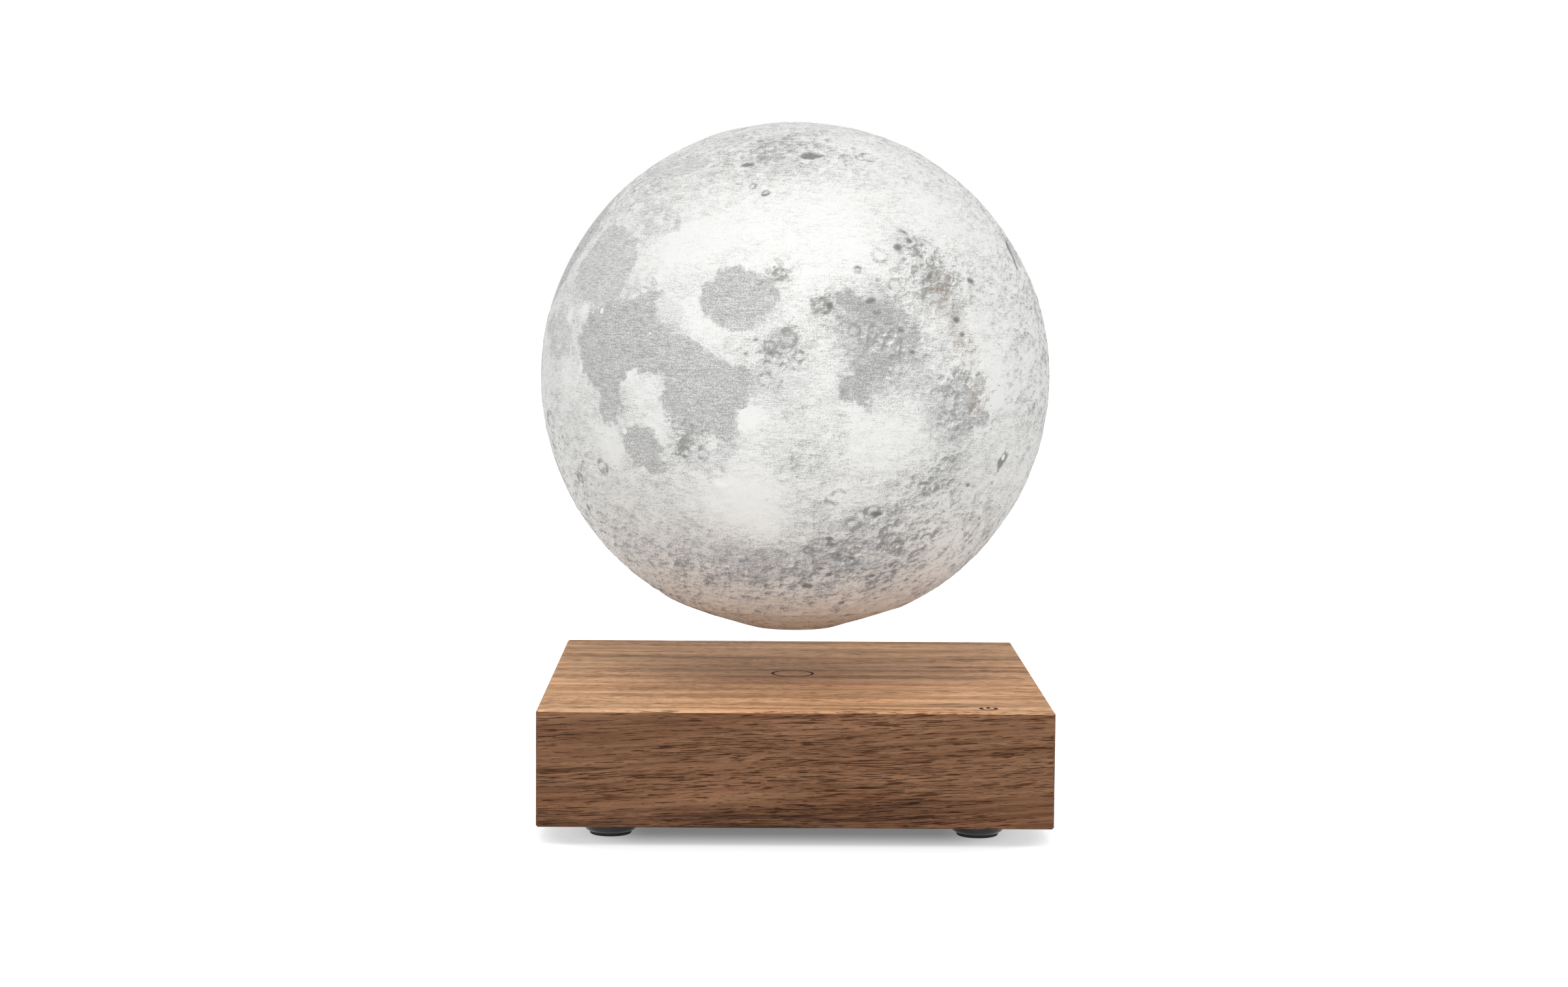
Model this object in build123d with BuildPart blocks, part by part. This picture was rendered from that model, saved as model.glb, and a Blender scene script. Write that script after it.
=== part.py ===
from build123d import *
import os
from math import acos, degrees, sqrt

# Moon lamp: a printed moon globe that floats above a square walnut base.
# The origin is on the table, under the centre of the base. +Z is up and the front faces -Y.
# All lengths are in millimetres.

os.makedirs("parts", exist_ok=True)

# Driving dimensions of the lamp
base_width = 145.0
base_depth = 145.0
base_height = 33.0
foot_height = 5.5
globe_radius = 76.0
flat_radius = 13.0
float_gap = 15.0

# Clearances that several pieces share, and the overrun of cuts
slip_gap = 0.1
assembly_gap = 0.3
overrun = 1.0

# Walnut casing: a block hollowed from below, with a screw post left in each corner
wood_wall = 4.0
wood_top = 3.5
post_size = 12.0
cutter_radius = 3.0
edge_break = 0.5

# Bottom cover, let flush into a rebate round the underside of the casing
cover_thickness = 2.5
cover_ledge = 1.8
cover_corner = 2.0
rim_wall = 1.5
rim_height = 1.5
cover_screw_radius = 1.45
cover_screw_head_radius = 2.8
cover_screw_length = 11.0
screw_sink_angle = 90.0

# Feet: a flared cup screwed to the cover, and a rubber pad pressed into it
pad_radius = 6.0
pad_proud = 1.05
pad_rounding = 0.5
cup_lip = 0.4
cup_belly = 1.1
cup_flare = 1.0
cup_waist_height = 2.3
cup_web = 1.6
foot_screw_radius = 1.4
foot_screw_head_radius = 2.7
foot_screw_head_height = 1.4
foot_screw_cover = 0.4
foot_boss_radius = 3.4
foot_boss_gap = 0.6
foot_boss_drop = 0.9

# Barrel jack in the rear wall, for a plug of 5.5 mm with a 2.1 mm centre
jack_flange_radius = 5.5
jack_flange_thickness = 1.3
jack_body_radius = 4.0
jack_body_length = 12.0
jack_bore_radius = 2.85
jack_bore_depth = 9.5
jack_pin_radius = 1.05
jack_pin_setback = 1.0
jack_pin_rounding = 0.35
jack_tail_radius = 0.7
jack_tail_length = 2.0
jack_nut_flats = 11.0
jack_nut_thickness = 2.0
jack_nut_gap = 1.5
jack_lug_offset = 2.6
jack_lug_width = 1.8
jack_lug_thickness = 0.6

# Control board on the cover's standoffs
standoff_radius = 3.0
standoff_height = 3.5
board_thickness = 1.6
board_post_gap = 5.5

# Levitation module: a tray with the ring magnet and four electromagnets
tray_share = 0.8511
tray_leg_height = 6.4
tray_plate = 2.0
tray_wall = 2.0
tray_wall_drop = 3.0
tray_leg_radius = 2.8
tray_ear_radius = 3.6
tray_ear_reach = 3.9
tray_lead_hole_radius = 2.0
tray_lead_hole_inset = 8.7
ring_bore_share = 0.643
ring_chamfer = 0.6
coil_wall_gap = 0.2
coil_spacing = 3.0
bobbin_flange = 1.0
bobbin_tube_wall = 0.8
bobbin_bore_share = 0.308
winding_inset = 0.6
winding_chamfer = 0.4
core_chamfer = 0.4
tray_screw_radius = 1.2
tray_screw_head_radius = 2.2
tray_screw_head_height = 1.3

# Hall sensors that watch the floating magnet, on a pillar between the electromagnets
pillar_radius = 2.6
hall_sink = 3.4
hall_board_side = 9.0
hall_board_thickness = 1.0
hall_sensor_width = 2.9
hall_sensor_depth = 1.5
hall_sensor_height = 1.1
hall_sensor_offset = 2.4

# Power coil that feeds the globe, wound flat on a carrier under the wood
carrier_plate = 1.2
carrier_lip_gap = 0.6
carrier_lip_wall = 1.4
carrier_overlap = 1.5
power_coil_inset = 0.9
power_coil_pitch = 1.7
power_coil_strand = 1.2
power_coil_turns = 8
power_coil_height = 1.6
power_lead_radius = 0.3
power_lead_gap = 0.05
power_lead_offset = 1.5
power_lead_drop = 3.5
power_lead_run = 13.8

# Parts on the control board
transistor_width = 6.6
transistor_depth = 6.1
transistor_height = 2.3
transistor_spacing = 14.0
transistor_row_inset = 27.0
chip_side = 7.0
chip_height = 1.0
chip_offset = 16.0
capacitor_radius = 3.15
capacitor_spacing = 9.0
capacitor_row_inset = 17.0
capacitor_height_share = 0.86
lead_radius = 0.6
lead_bend = 1.5
lead_lift = 2.6
jack_lead_landing = 4.0

# Touch key under the power mark, read through the wood
touch_side = 12.0
touch_thickness = 1.0
touch_chip_side = 3.0
touch_chip_height = 0.9
touch_chip_offset = 2.0
touch_lead_landing = 3.5

# Globe shell: a printed sphere, open at the bottom inside a collar
shell_wall = 2.0
seam_radius = 34.0
collar_wall = 2.2
collar_height = 8.0

# Globe cap: a flattened cone that closes the shell and holds the magnet
seam_gap = 0.2
cap_bulge = 0.2
spigot_wall = 2.0
spigot_height = 7.0
spigot_lead = 0.5
cap_floor_height = 1.5
pocket_wall = 1.7
pocket_corner_wall = 1.175
pocket_inset = 3.7
cap_boss_radius = 2.2
stack_screw_count = 4

# Floating magnet in the cap's pocket
magnet_height = 8.0
magnet_chamfer = 0.5
magnet_gap = 0.3
keeper_thickness = 1.6
keeper_edge = 3.0

# Pickup coil round the pocket
pickup_wall_gap = 0.65
pickup_keeper_gap = 0.4
pickup_pitch = 1.25
pickup_strand = 0.8
pickup_turns = 3
pickup_height = 1.4
pickup_lead_radius = 0.4
pickup_lead_offset = 1.5
pickup_lead_run = 4.0

# Receiver board and lamp board on spacers above the magnet
spacer_radius = 2.4
spacer_height = 6.0
stud_radius = 1.2
stud_length = 3.0
receiver_overhang = 2.0
receiver_thickness = 1.6
receiver_capacitor_radius = 3.15
receiver_capacitor_share = 0.85
receiver_capacitor_offset = 9.0
inductor_side = 6.0
inductor_height = 3.2
inductor_offset = 10.0
inductor_corner = 1.2
rectifier_width = 6.2
rectifier_depth = 5.0
rectifier_height = 1.6
rectifier_offset = 12.0
lamp_board_thickness = 1.6
lamp_width = 3.5
lamp_depth = 2.8
lamp_height = 0.8
lamp_circle_inset = 9.0
lamp_count = 12
inner_lamp_circle_inset = 19.0
inner_lamp_count = 6
stack_screw_head_radius = 2.2
stack_screw_head_height = 1.5
lamp_lead_radius = 0.5
lamp_lead_inset = 5.0
lamp_lead_spread = 4.0

# Heights of the base, from the table up
base_bottom = foot_height
base_top = base_bottom + base_height
cover_top = base_bottom + cover_thickness
ceiling = base_top - wood_top
board_bottom = cover_top + standoff_height
board_top = board_bottom + board_thickness
tray_bottom = board_top + tray_leg_height
ring_bottom = tray_bottom + tray_plate
ceiling_gap = 2 * (power_lead_radius + power_lead_gap)
power_coil_top = ceiling - ceiling_gap
power_coil_bottom = power_coil_top - power_coil_height
carrier_bottom = power_coil_bottom - carrier_plate
ring_height = carrier_bottom - ring_bottom
tray_wall_height = ring_height - tray_wall_drop
carrier_lip = tray_wall_drop - carrier_lip_gap
pillar_height = ring_height - hall_sink
hall_board_bottom = ring_bottom + pillar_height
hall_board_top = hall_board_bottom + hall_board_thickness
jack_axis_height = cover_top + rim_height + jack_nut_gap + jack_nut_flats / 2

# Sizes of the feet
screw_seat = base_bottom - cup_web
pad_depth = screw_seat - foot_screw_head_height - foot_screw_cover
cup_rim_radius = pad_radius + slip_gap + cup_lip
cup_waist_radius = cup_rim_radius + cup_belly
cup_top_radius = cup_waist_radius + cup_flare
foot_inset = wood_wall + post_size + foot_boss_radius + foot_boss_gap
foot_boss_height = standoff_height - foot_boss_drop
foot_screw_length = cup_web + cover_thickness + foot_boss_height - assembly_gap

# Places across the base
half_width = base_width / 2
half_depth = base_depth / 2
pocket_width = base_width - 2 * wood_wall
pocket_depth = base_depth - 2 * wood_wall
post_spacing_x = pocket_width - post_size
post_spacing_y = pocket_depth - post_size
rebate_width = pocket_width + 2 * cover_ledge
rebate_depth = pocket_depth + 2 * cover_ledge
foot_x = half_width - foot_inset
foot_y = half_depth - foot_inset
foot_places = {
    "front_left": (-foot_x, -foot_y),
    "front_right": (foot_x, -foot_y),
    "rear_left": (-foot_x, foot_y),
    "rear_right": (foot_x, foot_y),
}
board_width = pocket_width - 2 * (post_size + board_post_gap)
board_depth = pocket_depth - 2 * (post_size + board_post_gap)
transistor_row_y = transistor_row_inset - board_depth / 2
capacitor_row_y = board_depth / 2 - capacitor_row_inset

# Radii of the levitation module, from its round tray inwards
tray_radius = min(pocket_width, pocket_depth) / 2 * tray_share
tray_screw_circle = tray_radius + tray_ear_reach
tray_screw_place = tray_screw_circle / sqrt(2)
ring_outer_radius = tray_radius - tray_wall - assembly_gap
ring_inner_radius = ring_outer_radius * ring_bore_share
inner_wall_bore = ring_inner_radius - assembly_gap - tray_wall
tray_lead_hole_circle = inner_wall_bore - tray_lead_hole_inset
carrier_inner_radius = ring_inner_radius - carrier_overlap
power_coil_width = power_coil_turns * power_coil_pitch
power_coil_inner_radius = ring_outer_radius - power_coil_inset - power_coil_width

# Four bobbins touch the inner wall of the tray and stand a spacing apart
coil_room = inner_wall_bore - coil_wall_gap
bobbin_radius = (coil_room - coil_spacing / sqrt(2)) / (1 + sqrt(2))
bobbin_bore_radius = bobbin_radius * bobbin_bore_share
coil_circle_radius = coil_room - bobbin_radius
coil_places = {
    "right": (coil_circle_radius, 0),
    "rear": (0, coil_circle_radius),
    "left": (-coil_circle_radius, 0),
    "front": (0, -coil_circle_radius),
}

# Place of the touch key, beside the post of the right front corner
touch_x = (post_spacing_x - post_size - touch_side) / 2 - assembly_gap
touch_y = -(pocket_depth - touch_side) / 2 + assembly_gap

# Heights of the globe, from the table up
flat_height = base_top + float_gap
globe_centre = flat_height + sqrt(globe_radius**2 - flat_radius**2)
seam_height = globe_centre - sqrt(globe_radius**2 - seam_radius**2)
collar_top = seam_height + collar_height
cap_floor = seam_height + cap_floor_height

# Places across the globe, from the seam inwards
spigot_radius = seam_radius - seam_gap
spigot_bore = spigot_radius - spigot_wall
collar_radius = seam_radius + collar_wall
shell_bore = globe_radius - shell_wall
pickup_inner_radius = spigot_bore - pickup_wall_gap - pickup_turns * pickup_pitch
keeper_radius = pickup_inner_radius - pickup_keeper_gap
stack_circle_radius = keeper_radius - keeper_edge
pocket_radius = stack_circle_radius - pocket_inset
magnet_radius = pocket_radius - magnet_gap
receiver_radius = keeper_radius + receiver_overhang
lamp_board_radius = keeper_radius
lamp_circle_radius = lamp_board_radius - lamp_circle_inset
inner_lamp_circle_radius = lamp_board_radius - inner_lamp_circle_inset
lamp_lead_circle_radius = lamp_board_radius - lamp_lead_inset

# The pocket keeps a wall between its corner and the slope of the cap
cap_slope = (seam_height - flat_height) / (spigot_radius - flat_radius)
pocket_floor = (pocket_radius - flat_radius) * cap_slope + pocket_corner_wall

# Heights of what the globe holds
pocket_bottom = flat_height + pocket_floor
magnet_bottom = pocket_bottom + magnet_gap
keeper_bottom = magnet_bottom + magnet_height + magnet_gap
keeper_top = keeper_bottom + keeper_thickness
receiver_bottom = keeper_top + spacer_height
receiver_top = receiver_bottom + receiver_thickness
lamp_board_bottom = receiver_top + spacer_height
lamp_board_top = lamp_board_bottom + lamp_board_thickness


def upright(x=0, y=0, z=0):
    """Vertical plane through (x, y, z): its first axis is +X, its second is +Z."""
    return Plane(origin=(x, y, z), x_dir=(1, 0, 0), z_dir=(0, -1, 0))


def plumb(x=0, y=0):
    """Vertical axis through (x, y)."""
    return Axis((x, y, 0), (0, 0, 1))


def level(height, x=0, y=0):
    """Horizontal plane at a height above the table, centred on (x, y)."""
    return Plane(origin=(x, y, height), z_dir=(0, 0, 1))


def stack_spots():
    """Places of the screws that hold the boards of the globe, at 45 degrees to the axes."""
    return PolarLocations(stack_circle_radius, stack_screw_count, start_angle=45)


def corner_spots(spacing_x, spacing_y):
    """Four places at the corners of a rectangle."""
    return GridLocations(spacing_x, spacing_y, 2, 2)


def corners_of(spacing_x, spacing_y):
    """The same four places as plain points."""
    return [(x * spacing_x / 2, y * spacing_y / 2) for x in (-1, 1) for y in (-1, 1)]


def add_turned(points, x=0, y=0):
    """Turn a closed outline of (radius, height) points about a vertical axis."""
    with BuildSketch(upright(x, y)) as outline:
        with BuildLine():
            Polyline(*points, close=True)
        make_face()
    revolve(outline.sketch, axis=plumb(x, y))


def add_screw(x, y, seat, head_radius, head_height, radius, length, up=1):
    """Cheese-head screw: the head stands on its seat and the shank runs away from it."""
    add_turned(
        [
            (0, seat + up * head_height),
            (head_radius, seat + up * head_height),
            (head_radius, seat),
            (radius, seat),
            (radius, seat - up * length),
            (0, seat - up * length),
        ],
        x,
        y,
    )


def add_flat_coil(height, inner_radius, pitch, strand, turns, thickness):
    """Wind one flat strand outwards in half turns, and give it its thickness."""
    with BuildSketch(level(height)) as strand_outline:
        with BuildLine():
            ends = []
            for side in (-strand / 2, strand / 2):
                arcs = []
                for half in range(2 * turns):
                    shift = pitch / 4 * (-1) ** (half + 1)
                    radius = inner_radius + strand / 2 + half * pitch / 2 + side
                    arcs.append(CenterArc((shift, 0), radius, 180 * (half % 2), 180))
                ends.append((arcs[0] @ 0, arcs[-1] @ 1))
            for inner_side, outer_side in zip(*ends):
                Line(inner_side, outer_side)
        make_face()
    extrude(strand_outline.sketch, amount=thickness)


def add_lead(points, radius, bend=lead_bend):
    """Sweep a round wire along straight runs joined by arcs."""
    with BuildLine() as route:
        if len(points) > 2:
            FilletPolyline(*points, radius=bend)
        else:
            Line(*points)
    path = route.wire()
    with BuildSketch(Plane(origin=path @ 0, z_dir=path % 0)) as section:
        Circle(radius)
    sweep(section.sketch, path=path)


# Walnut casing

jack_face = Plane(origin=(0, half_depth, jack_axis_height), x_dir=(1, 0, 0), z_dir=(0, -1, 0))

with BuildPart() as wood_casing:
    with BuildSketch(level(base_bottom)):
        Rectangle(base_width, base_depth)
    extrude(amount=base_height)
    chamfer(wood_casing.edges(), edge_break)
    with BuildSketch(level(base_bottom)) as pocket:
        Rectangle(pocket_width, pocket_depth)
        with corner_spots(post_spacing_x, post_spacing_y):
            Rectangle(post_size, post_size, mode=Mode.SUBTRACT)
        fillet(pocket.vertices(), cutter_radius)
    extrude(amount=base_height - wood_top, mode=Mode.SUBTRACT)
    with BuildSketch(level(base_bottom)):
        RectangleRounded(rebate_width, rebate_depth, cover_corner)
    extrude(amount=cover_thickness, mode=Mode.SUBTRACT)
    with BuildSketch(level(base_bottom)):
        with corner_spots(post_spacing_x, post_spacing_y):
            Circle(cover_screw_radius + slip_gap)
    extrude(amount=cover_screw_length + overrun, mode=Mode.SUBTRACT)
    with BuildSketch(jack_face):
        Circle(jack_flange_radius + slip_gap)
    extrude(amount=jack_flange_thickness, mode=Mode.SUBTRACT)
    with BuildSketch(jack_face):
        Circle(jack_body_radius + slip_gap)
    extrude(amount=wood_wall + overrun, mode=Mode.SUBTRACT)
wood_casing.part.label = "wood_casing"
export_step(wood_casing.part, "parts/wood_casing.step")

# Bottom cover, with its locating rim, foot bosses and board standoffs

with BuildPart() as bottom_cover:
    with BuildSketch(level(base_bottom)):
        RectangleRounded(
            rebate_width - 2 * assembly_gap,
            rebate_depth - 2 * assembly_gap,
            cover_corner - assembly_gap,
        )
    extrude(amount=cover_thickness)
    with BuildSketch(level(cover_top)) as rim:
        Rectangle(pocket_width - 2 * assembly_gap, pocket_depth - 2 * assembly_gap)
        with corner_spots(post_spacing_x, post_spacing_y):
            Rectangle(
                post_size + 2 * assembly_gap,
                post_size + 2 * assembly_gap,
                mode=Mode.SUBTRACT,
            )
        fillet(rim.vertices(), cutter_radius)
        offset(amount=-rim_wall, mode=Mode.SUBTRACT)
    extrude(amount=rim_height)
    with BuildSketch(level(cover_top)):
        with corner_spots(2 * foot_x, 2 * foot_y):
            Circle(foot_boss_radius)
    extrude(amount=foot_boss_height)
    with BuildSketch(level(cover_top)):
        with corner_spots(2 * tray_screw_place, 2 * tray_screw_place):
            Circle(standoff_radius)
    extrude(amount=standoff_height)
    with BuildSketch(level(base_bottom)):
        with corner_spots(2 * foot_x, 2 * foot_y):
            Circle(foot_screw_radius + slip_gap)
    extrude(amount=cover_thickness + foot_boss_height, mode=Mode.SUBTRACT)
    with BuildSketch(level(cover_top)):
        with corner_spots(2 * tray_screw_place, 2 * tray_screw_place):
            Circle(tray_screw_radius + slip_gap)
    extrude(amount=standoff_height, mode=Mode.SUBTRACT)
    with Locations(Plane(origin=(0, 0, base_bottom), z_dir=(0, 0, -1))):
        with corner_spots(post_spacing_x, post_spacing_y):
            CounterSinkHole(
                cover_screw_radius + slip_gap,
                cover_screw_head_radius + slip_gap,
                counter_sink_angle=screw_sink_angle,
            )
bottom_cover.part.label = "bottom_cover"
export_step(bottom_cover.part, "parts/bottom_cover.step")

# Countersunk screws that hold the cover to the posts of the casing

with BuildPart() as cover_screws:
    sink_depth = cover_screw_head_radius - cover_screw_radius
    screw_end = base_bottom + cover_screw_length
    for x, y in corners_of(post_spacing_x, post_spacing_y):
        add_turned(
            [
                (0, base_bottom),
                (cover_screw_head_radius, base_bottom),
                (cover_screw_radius, base_bottom + sink_depth),
                (cover_screw_radius, screw_end - cover_screw_radius),
                (0, screw_end),
            ],
            x,
            y,
        )
cover_screws.part.label = "cover_screws"
export_step(cover_screws.part, "parts/cover_screws.step")

# Feet: cup and pad at each corner, and the screws hidden above the pads

for place, (x, y) in foot_places.items():
    with BuildPart() as foot_cup:
        with BuildSketch(upright(x, y)):
            with BuildLine():
                flank = Line((cup_top_radius, base_bottom), (cup_waist_radius, cup_waist_height))
                belly = TangentArc(
                    flank @ 1,
                    (cup_rim_radius, pad_proud),
                    tangent=flank % 1,
                )
                Polyline(
                    belly @ 1,
                    (pad_radius + slip_gap, pad_proud),
                    (pad_radius + slip_gap, pad_depth),
                    (foot_screw_head_radius + assembly_gap, pad_depth),
                    (foot_screw_head_radius + assembly_gap, screw_seat),
                    (foot_screw_radius + slip_gap, screw_seat),
                    (foot_screw_radius + slip_gap, base_bottom),
                    flank @ 0,
                )
            make_face()
        revolve(axis=plumb(x, y))
    foot_cup.part.label = f"foot_cup_{place}"
    export_step(foot_cup.part, f"parts/foot_cup_{place}.step")

    with BuildPart() as foot_pad:
        with BuildSketch(level(0, x, y)):
            Circle(pad_radius)
        extrude(amount=pad_depth)
        fillet(foot_pad.edges().group_by(Axis.Z)[0], pad_rounding)
    foot_pad.part.label = f"foot_pad_{place}"
    export_step(foot_pad.part, f"parts/foot_pad_{place}.step")

with BuildPart() as foot_screws:
    for x, y in foot_places.values():
        add_screw(
            x,
            y,
            screw_seat,
            foot_screw_head_radius,
            foot_screw_head_height,
            foot_screw_radius,
            foot_screw_length,
            up=-1,
        )
foot_screws.part.label = "foot_screws"
export_step(foot_screws.part, "parts/foot_screws.step")

# Barrel jack: body, centre pin, rear lug, nut and the leads to the board

with BuildPart() as dc_jack:
    with BuildSketch(jack_face):
        Circle(jack_flange_radius)
    extrude(amount=jack_flange_thickness)
    with BuildSketch(jack_face):
        Circle(jack_body_radius)
    extrude(amount=jack_body_length)
    with BuildSketch(jack_face):
        Circle(jack_bore_radius)
    extrude(amount=jack_bore_depth, mode=Mode.SUBTRACT)
    with BuildSketch(jack_face.offset(jack_bore_depth)):
        Circle(jack_tail_radius + slip_gap)
    extrude(amount=jack_body_length - jack_bore_depth, mode=Mode.SUBTRACT)
dc_jack.part.label = "dc_jack"
export_step(dc_jack.part, "parts/dc_jack.step")

with BuildPart() as jack_pin:
    with BuildSketch(jack_face.offset(jack_pin_setback)):
        Circle(jack_pin_radius)
    extrude(amount=jack_bore_depth - jack_pin_setback)
    fillet(jack_pin.edges().group_by(Axis.Y)[-1], jack_pin_rounding)
    with BuildSketch(jack_face.offset(jack_bore_depth)):
        Circle(jack_tail_radius)
    extrude(amount=jack_body_length - jack_bore_depth + jack_tail_length)
jack_pin.part.label = "jack_pin"
export_step(jack_pin.part, "parts/jack_pin.step")

with BuildPart() as jack_lug:
    with BuildSketch(jack_face.offset(jack_body_length)):
        with Locations((jack_lug_offset, 0)):
            Rectangle(jack_lug_thickness, jack_lug_width)
    extrude(amount=jack_tail_length)
jack_lug.part.label = "jack_lug"
export_step(jack_lug.part, "parts/jack_lug.step")

with BuildPart() as jack_nut:
    with BuildSketch(jack_face.offset(wood_wall)):
        RegularPolygon(jack_nut_flats / 2, 6, major_radius=False)
        Circle(jack_body_radius + slip_gap, mode=Mode.SUBTRACT)
    extrude(amount=jack_nut_thickness)
jack_nut.part.label = "jack_nut"
export_step(jack_nut.part, "parts/jack_nut.step")

with BuildPart() as jack_leads:
    lead_start = half_depth - jack_body_length - jack_tail_length
    lead_end = board_depth / 2 - jack_lead_landing
    for x in (0, jack_lug_offset):
        add_lead(
            [
                (x, lead_start, jack_axis_height),
                (x, lead_end, jack_axis_height),
                (x, lead_end, board_top),
            ],
            lead_radius,
        )
jack_leads.part.label = "jack_leads"
export_step(jack_leads.part, "parts/jack_leads.step")

# Control board with its transistors, controller and capacitors

with BuildPart() as main_board:
    with BuildSketch(level(board_bottom)):
        Rectangle(board_width, board_depth)
        with corner_spots(2 * tray_screw_place, 2 * tray_screw_place):
            Circle(tray_screw_radius + slip_gap, mode=Mode.SUBTRACT)
    extrude(amount=board_thickness)
main_board.part.label = "main_board"
export_step(main_board.part, "parts/main_board.step")

with BuildPart() as power_transistors:
    with BuildSketch(level(board_top, 0, transistor_row_y)):
        with GridLocations(transistor_spacing, 0, 4, 1):
            Rectangle(transistor_width, transistor_depth)
    extrude(amount=transistor_height)
power_transistors.part.label = "power_transistors"
export_step(power_transistors.part, "parts/power_transistors.step")

with BuildPart() as controller_chip:
    with BuildSketch(level(board_top, chip_offset)):
        Rectangle(chip_side, chip_side)
    extrude(amount=chip_height)
controller_chip.part.label = "controller_chip"
export_step(controller_chip.part, "parts/controller_chip.step")

with BuildPart() as capacitors:
    with BuildSketch(level(board_top, 0, capacitor_row_y)):
        with GridLocations(capacitor_spacing, 0, 3, 1):
            Circle(capacitor_radius)
    extrude(amount=tray_leg_height * capacitor_height_share)
capacitors.part.label = "capacitors"
export_step(capacitors.part, "parts/capacitors.step")

# Tray of the levitation module: legs on the board, ears for the screws, walls for the ring

with BuildPart() as magnet_tray:
    with BuildSketch(level(board_top)):
        with PolarLocations(tray_screw_circle, 4, start_angle=45):
            Circle(tray_leg_radius)
    extrude(amount=tray_leg_height)
    with BuildSketch(level(tray_bottom)):
        Circle(tray_radius)
        with PolarLocations(tray_screw_circle, 4, start_angle=45):
            Circle(tray_ear_radius)
            with Locations((-tray_ear_reach, 0)):
                Rectangle(2 * tray_ear_reach, 2 * tray_ear_radius)
        with PolarLocations(tray_lead_hole_circle, 4, start_angle=45):
            Circle(tray_lead_hole_radius, mode=Mode.SUBTRACT)
    extrude(amount=tray_plate)
    with BuildSketch(level(ring_bottom)):
        Circle(tray_radius)
        Circle(tray_radius - tray_wall, mode=Mode.SUBTRACT)
        Circle(inner_wall_bore + tray_wall)
        Circle(inner_wall_bore, mode=Mode.SUBTRACT)
    extrude(amount=tray_wall_height)
    with BuildSketch(level(ring_bottom)):
        Circle(pillar_radius)
    extrude(amount=pillar_height)
    with BuildSketch(level(board_top)):
        with PolarLocations(tray_screw_circle, 4, start_angle=45):
            Circle(tray_screw_radius + slip_gap)
    extrude(amount=tray_leg_height + tray_plate, mode=Mode.SUBTRACT)
magnet_tray.part.label = "magnet_tray"
export_step(magnet_tray.part, "parts/magnet_tray.step")

with BuildPart() as tray_screws:
    for x, y in corners_of(2 * tray_screw_place, 2 * tray_screw_place):
        add_screw(
            x,
            y,
            ring_bottom,
            tray_screw_head_radius,
            tray_screw_head_height,
            tray_screw_radius,
            ring_bottom - cover_top - assembly_gap,
        )
tray_screws.part.label = "tray_screws"
export_step(tray_screws.part, "parts/tray_screws.step")

with BuildPart() as ring_magnet:
    with BuildSketch(level(ring_bottom)):
        Circle(ring_outer_radius)
        Circle(ring_inner_radius, mode=Mode.SUBTRACT)
    extrude(amount=ring_height)
    chamfer(ring_magnet.edges().filter_by(GeomType.CIRCLE), ring_chamfer)
ring_magnet.part.label = "ring_magnet"
export_step(ring_magnet.part, "parts/ring_magnet.step")

# Four electromagnets: bobbin, winding and steel core

tube_radius = bobbin_bore_radius + bobbin_tube_wall
bobbin_top = ring_bottom + ring_height
winding_bottom = ring_bottom + bobbin_flange
winding_top = bobbin_top - bobbin_flange

for place, (x, y) in coil_places.items():
    with BuildPart() as coil_bobbin:
        add_turned(
            [
                (bobbin_bore_radius, ring_bottom),
                (bobbin_radius, ring_bottom),
                (bobbin_radius, winding_bottom),
                (tube_radius, winding_bottom),
                (tube_radius, winding_top),
                (bobbin_radius, winding_top),
                (bobbin_radius, bobbin_top),
                (bobbin_bore_radius, bobbin_top),
            ],
            x,
            y,
        )
    coil_bobbin.part.label = f"coil_bobbin_{place}"
    export_step(coil_bobbin.part, f"parts/coil_bobbin_{place}.step")

    with BuildPart() as coil_winding:
        with BuildSketch(level(winding_bottom + slip_gap, x, y)):
            Circle(bobbin_radius - winding_inset)
            Circle(tube_radius + slip_gap, mode=Mode.SUBTRACT)
        extrude(amount=winding_top - winding_bottom - 2 * slip_gap)
        rims = coil_winding.edges().filter_by(GeomType.CIRCLE)
        chamfer(rims.group_by(SortBy.RADIUS)[-1], winding_chamfer)
    coil_winding.part.label = f"coil_winding_{place}"
    export_step(coil_winding.part, f"parts/coil_winding_{place}.step")

with BuildPart() as coil_cores:
    with BuildSketch(level(ring_bottom)):
        with Locations(*coil_places.values()):
            Circle(bobbin_bore_radius - slip_gap)
    extrude(amount=ring_height)
    chamfer(coil_cores.edges().group_by(Axis.Z)[-1], core_chamfer)
coil_cores.part.label = "coil_cores"
export_step(coil_cores.part, "parts/coil_cores.step")

# Hall sensors on the pillar of the tray

with BuildPart() as hall_board:
    with BuildSketch(level(hall_board_bottom)):
        Rectangle(hall_board_side, hall_board_side)
    extrude(amount=hall_board_thickness)
hall_board.part.label = "hall_board"
export_step(hall_board.part, "parts/hall_board.step")

with BuildPart() as hall_sensors:
    with BuildSketch(level(hall_board_top)):
        with Locations((-hall_sensor_offset, 0), (hall_sensor_offset, 0), (0, hall_sensor_offset)):
            Rectangle(hall_sensor_width, hall_sensor_depth)
    extrude(amount=hall_sensor_height)
hall_sensors.part.label = "hall_sensors"
export_step(hall_sensors.part, "parts/hall_sensors.step")

# Carrier and power coil over the ring magnet

with BuildPart() as coil_carrier:
    with BuildSketch(level(carrier_bottom)):
        Circle(tray_radius)
        Circle(carrier_inner_radius, mode=Mode.SUBTRACT)
    extrude(amount=carrier_plate)
    with BuildSketch(level(carrier_bottom)):
        Circle(ring_outer_radius + assembly_gap + carrier_lip_wall)
        Circle(ring_outer_radius + assembly_gap, mode=Mode.SUBTRACT)
    extrude(amount=-carrier_lip)
coil_carrier.part.label = "coil_carrier"
export_step(coil_carrier.part, "parts/coil_carrier.step")

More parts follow.
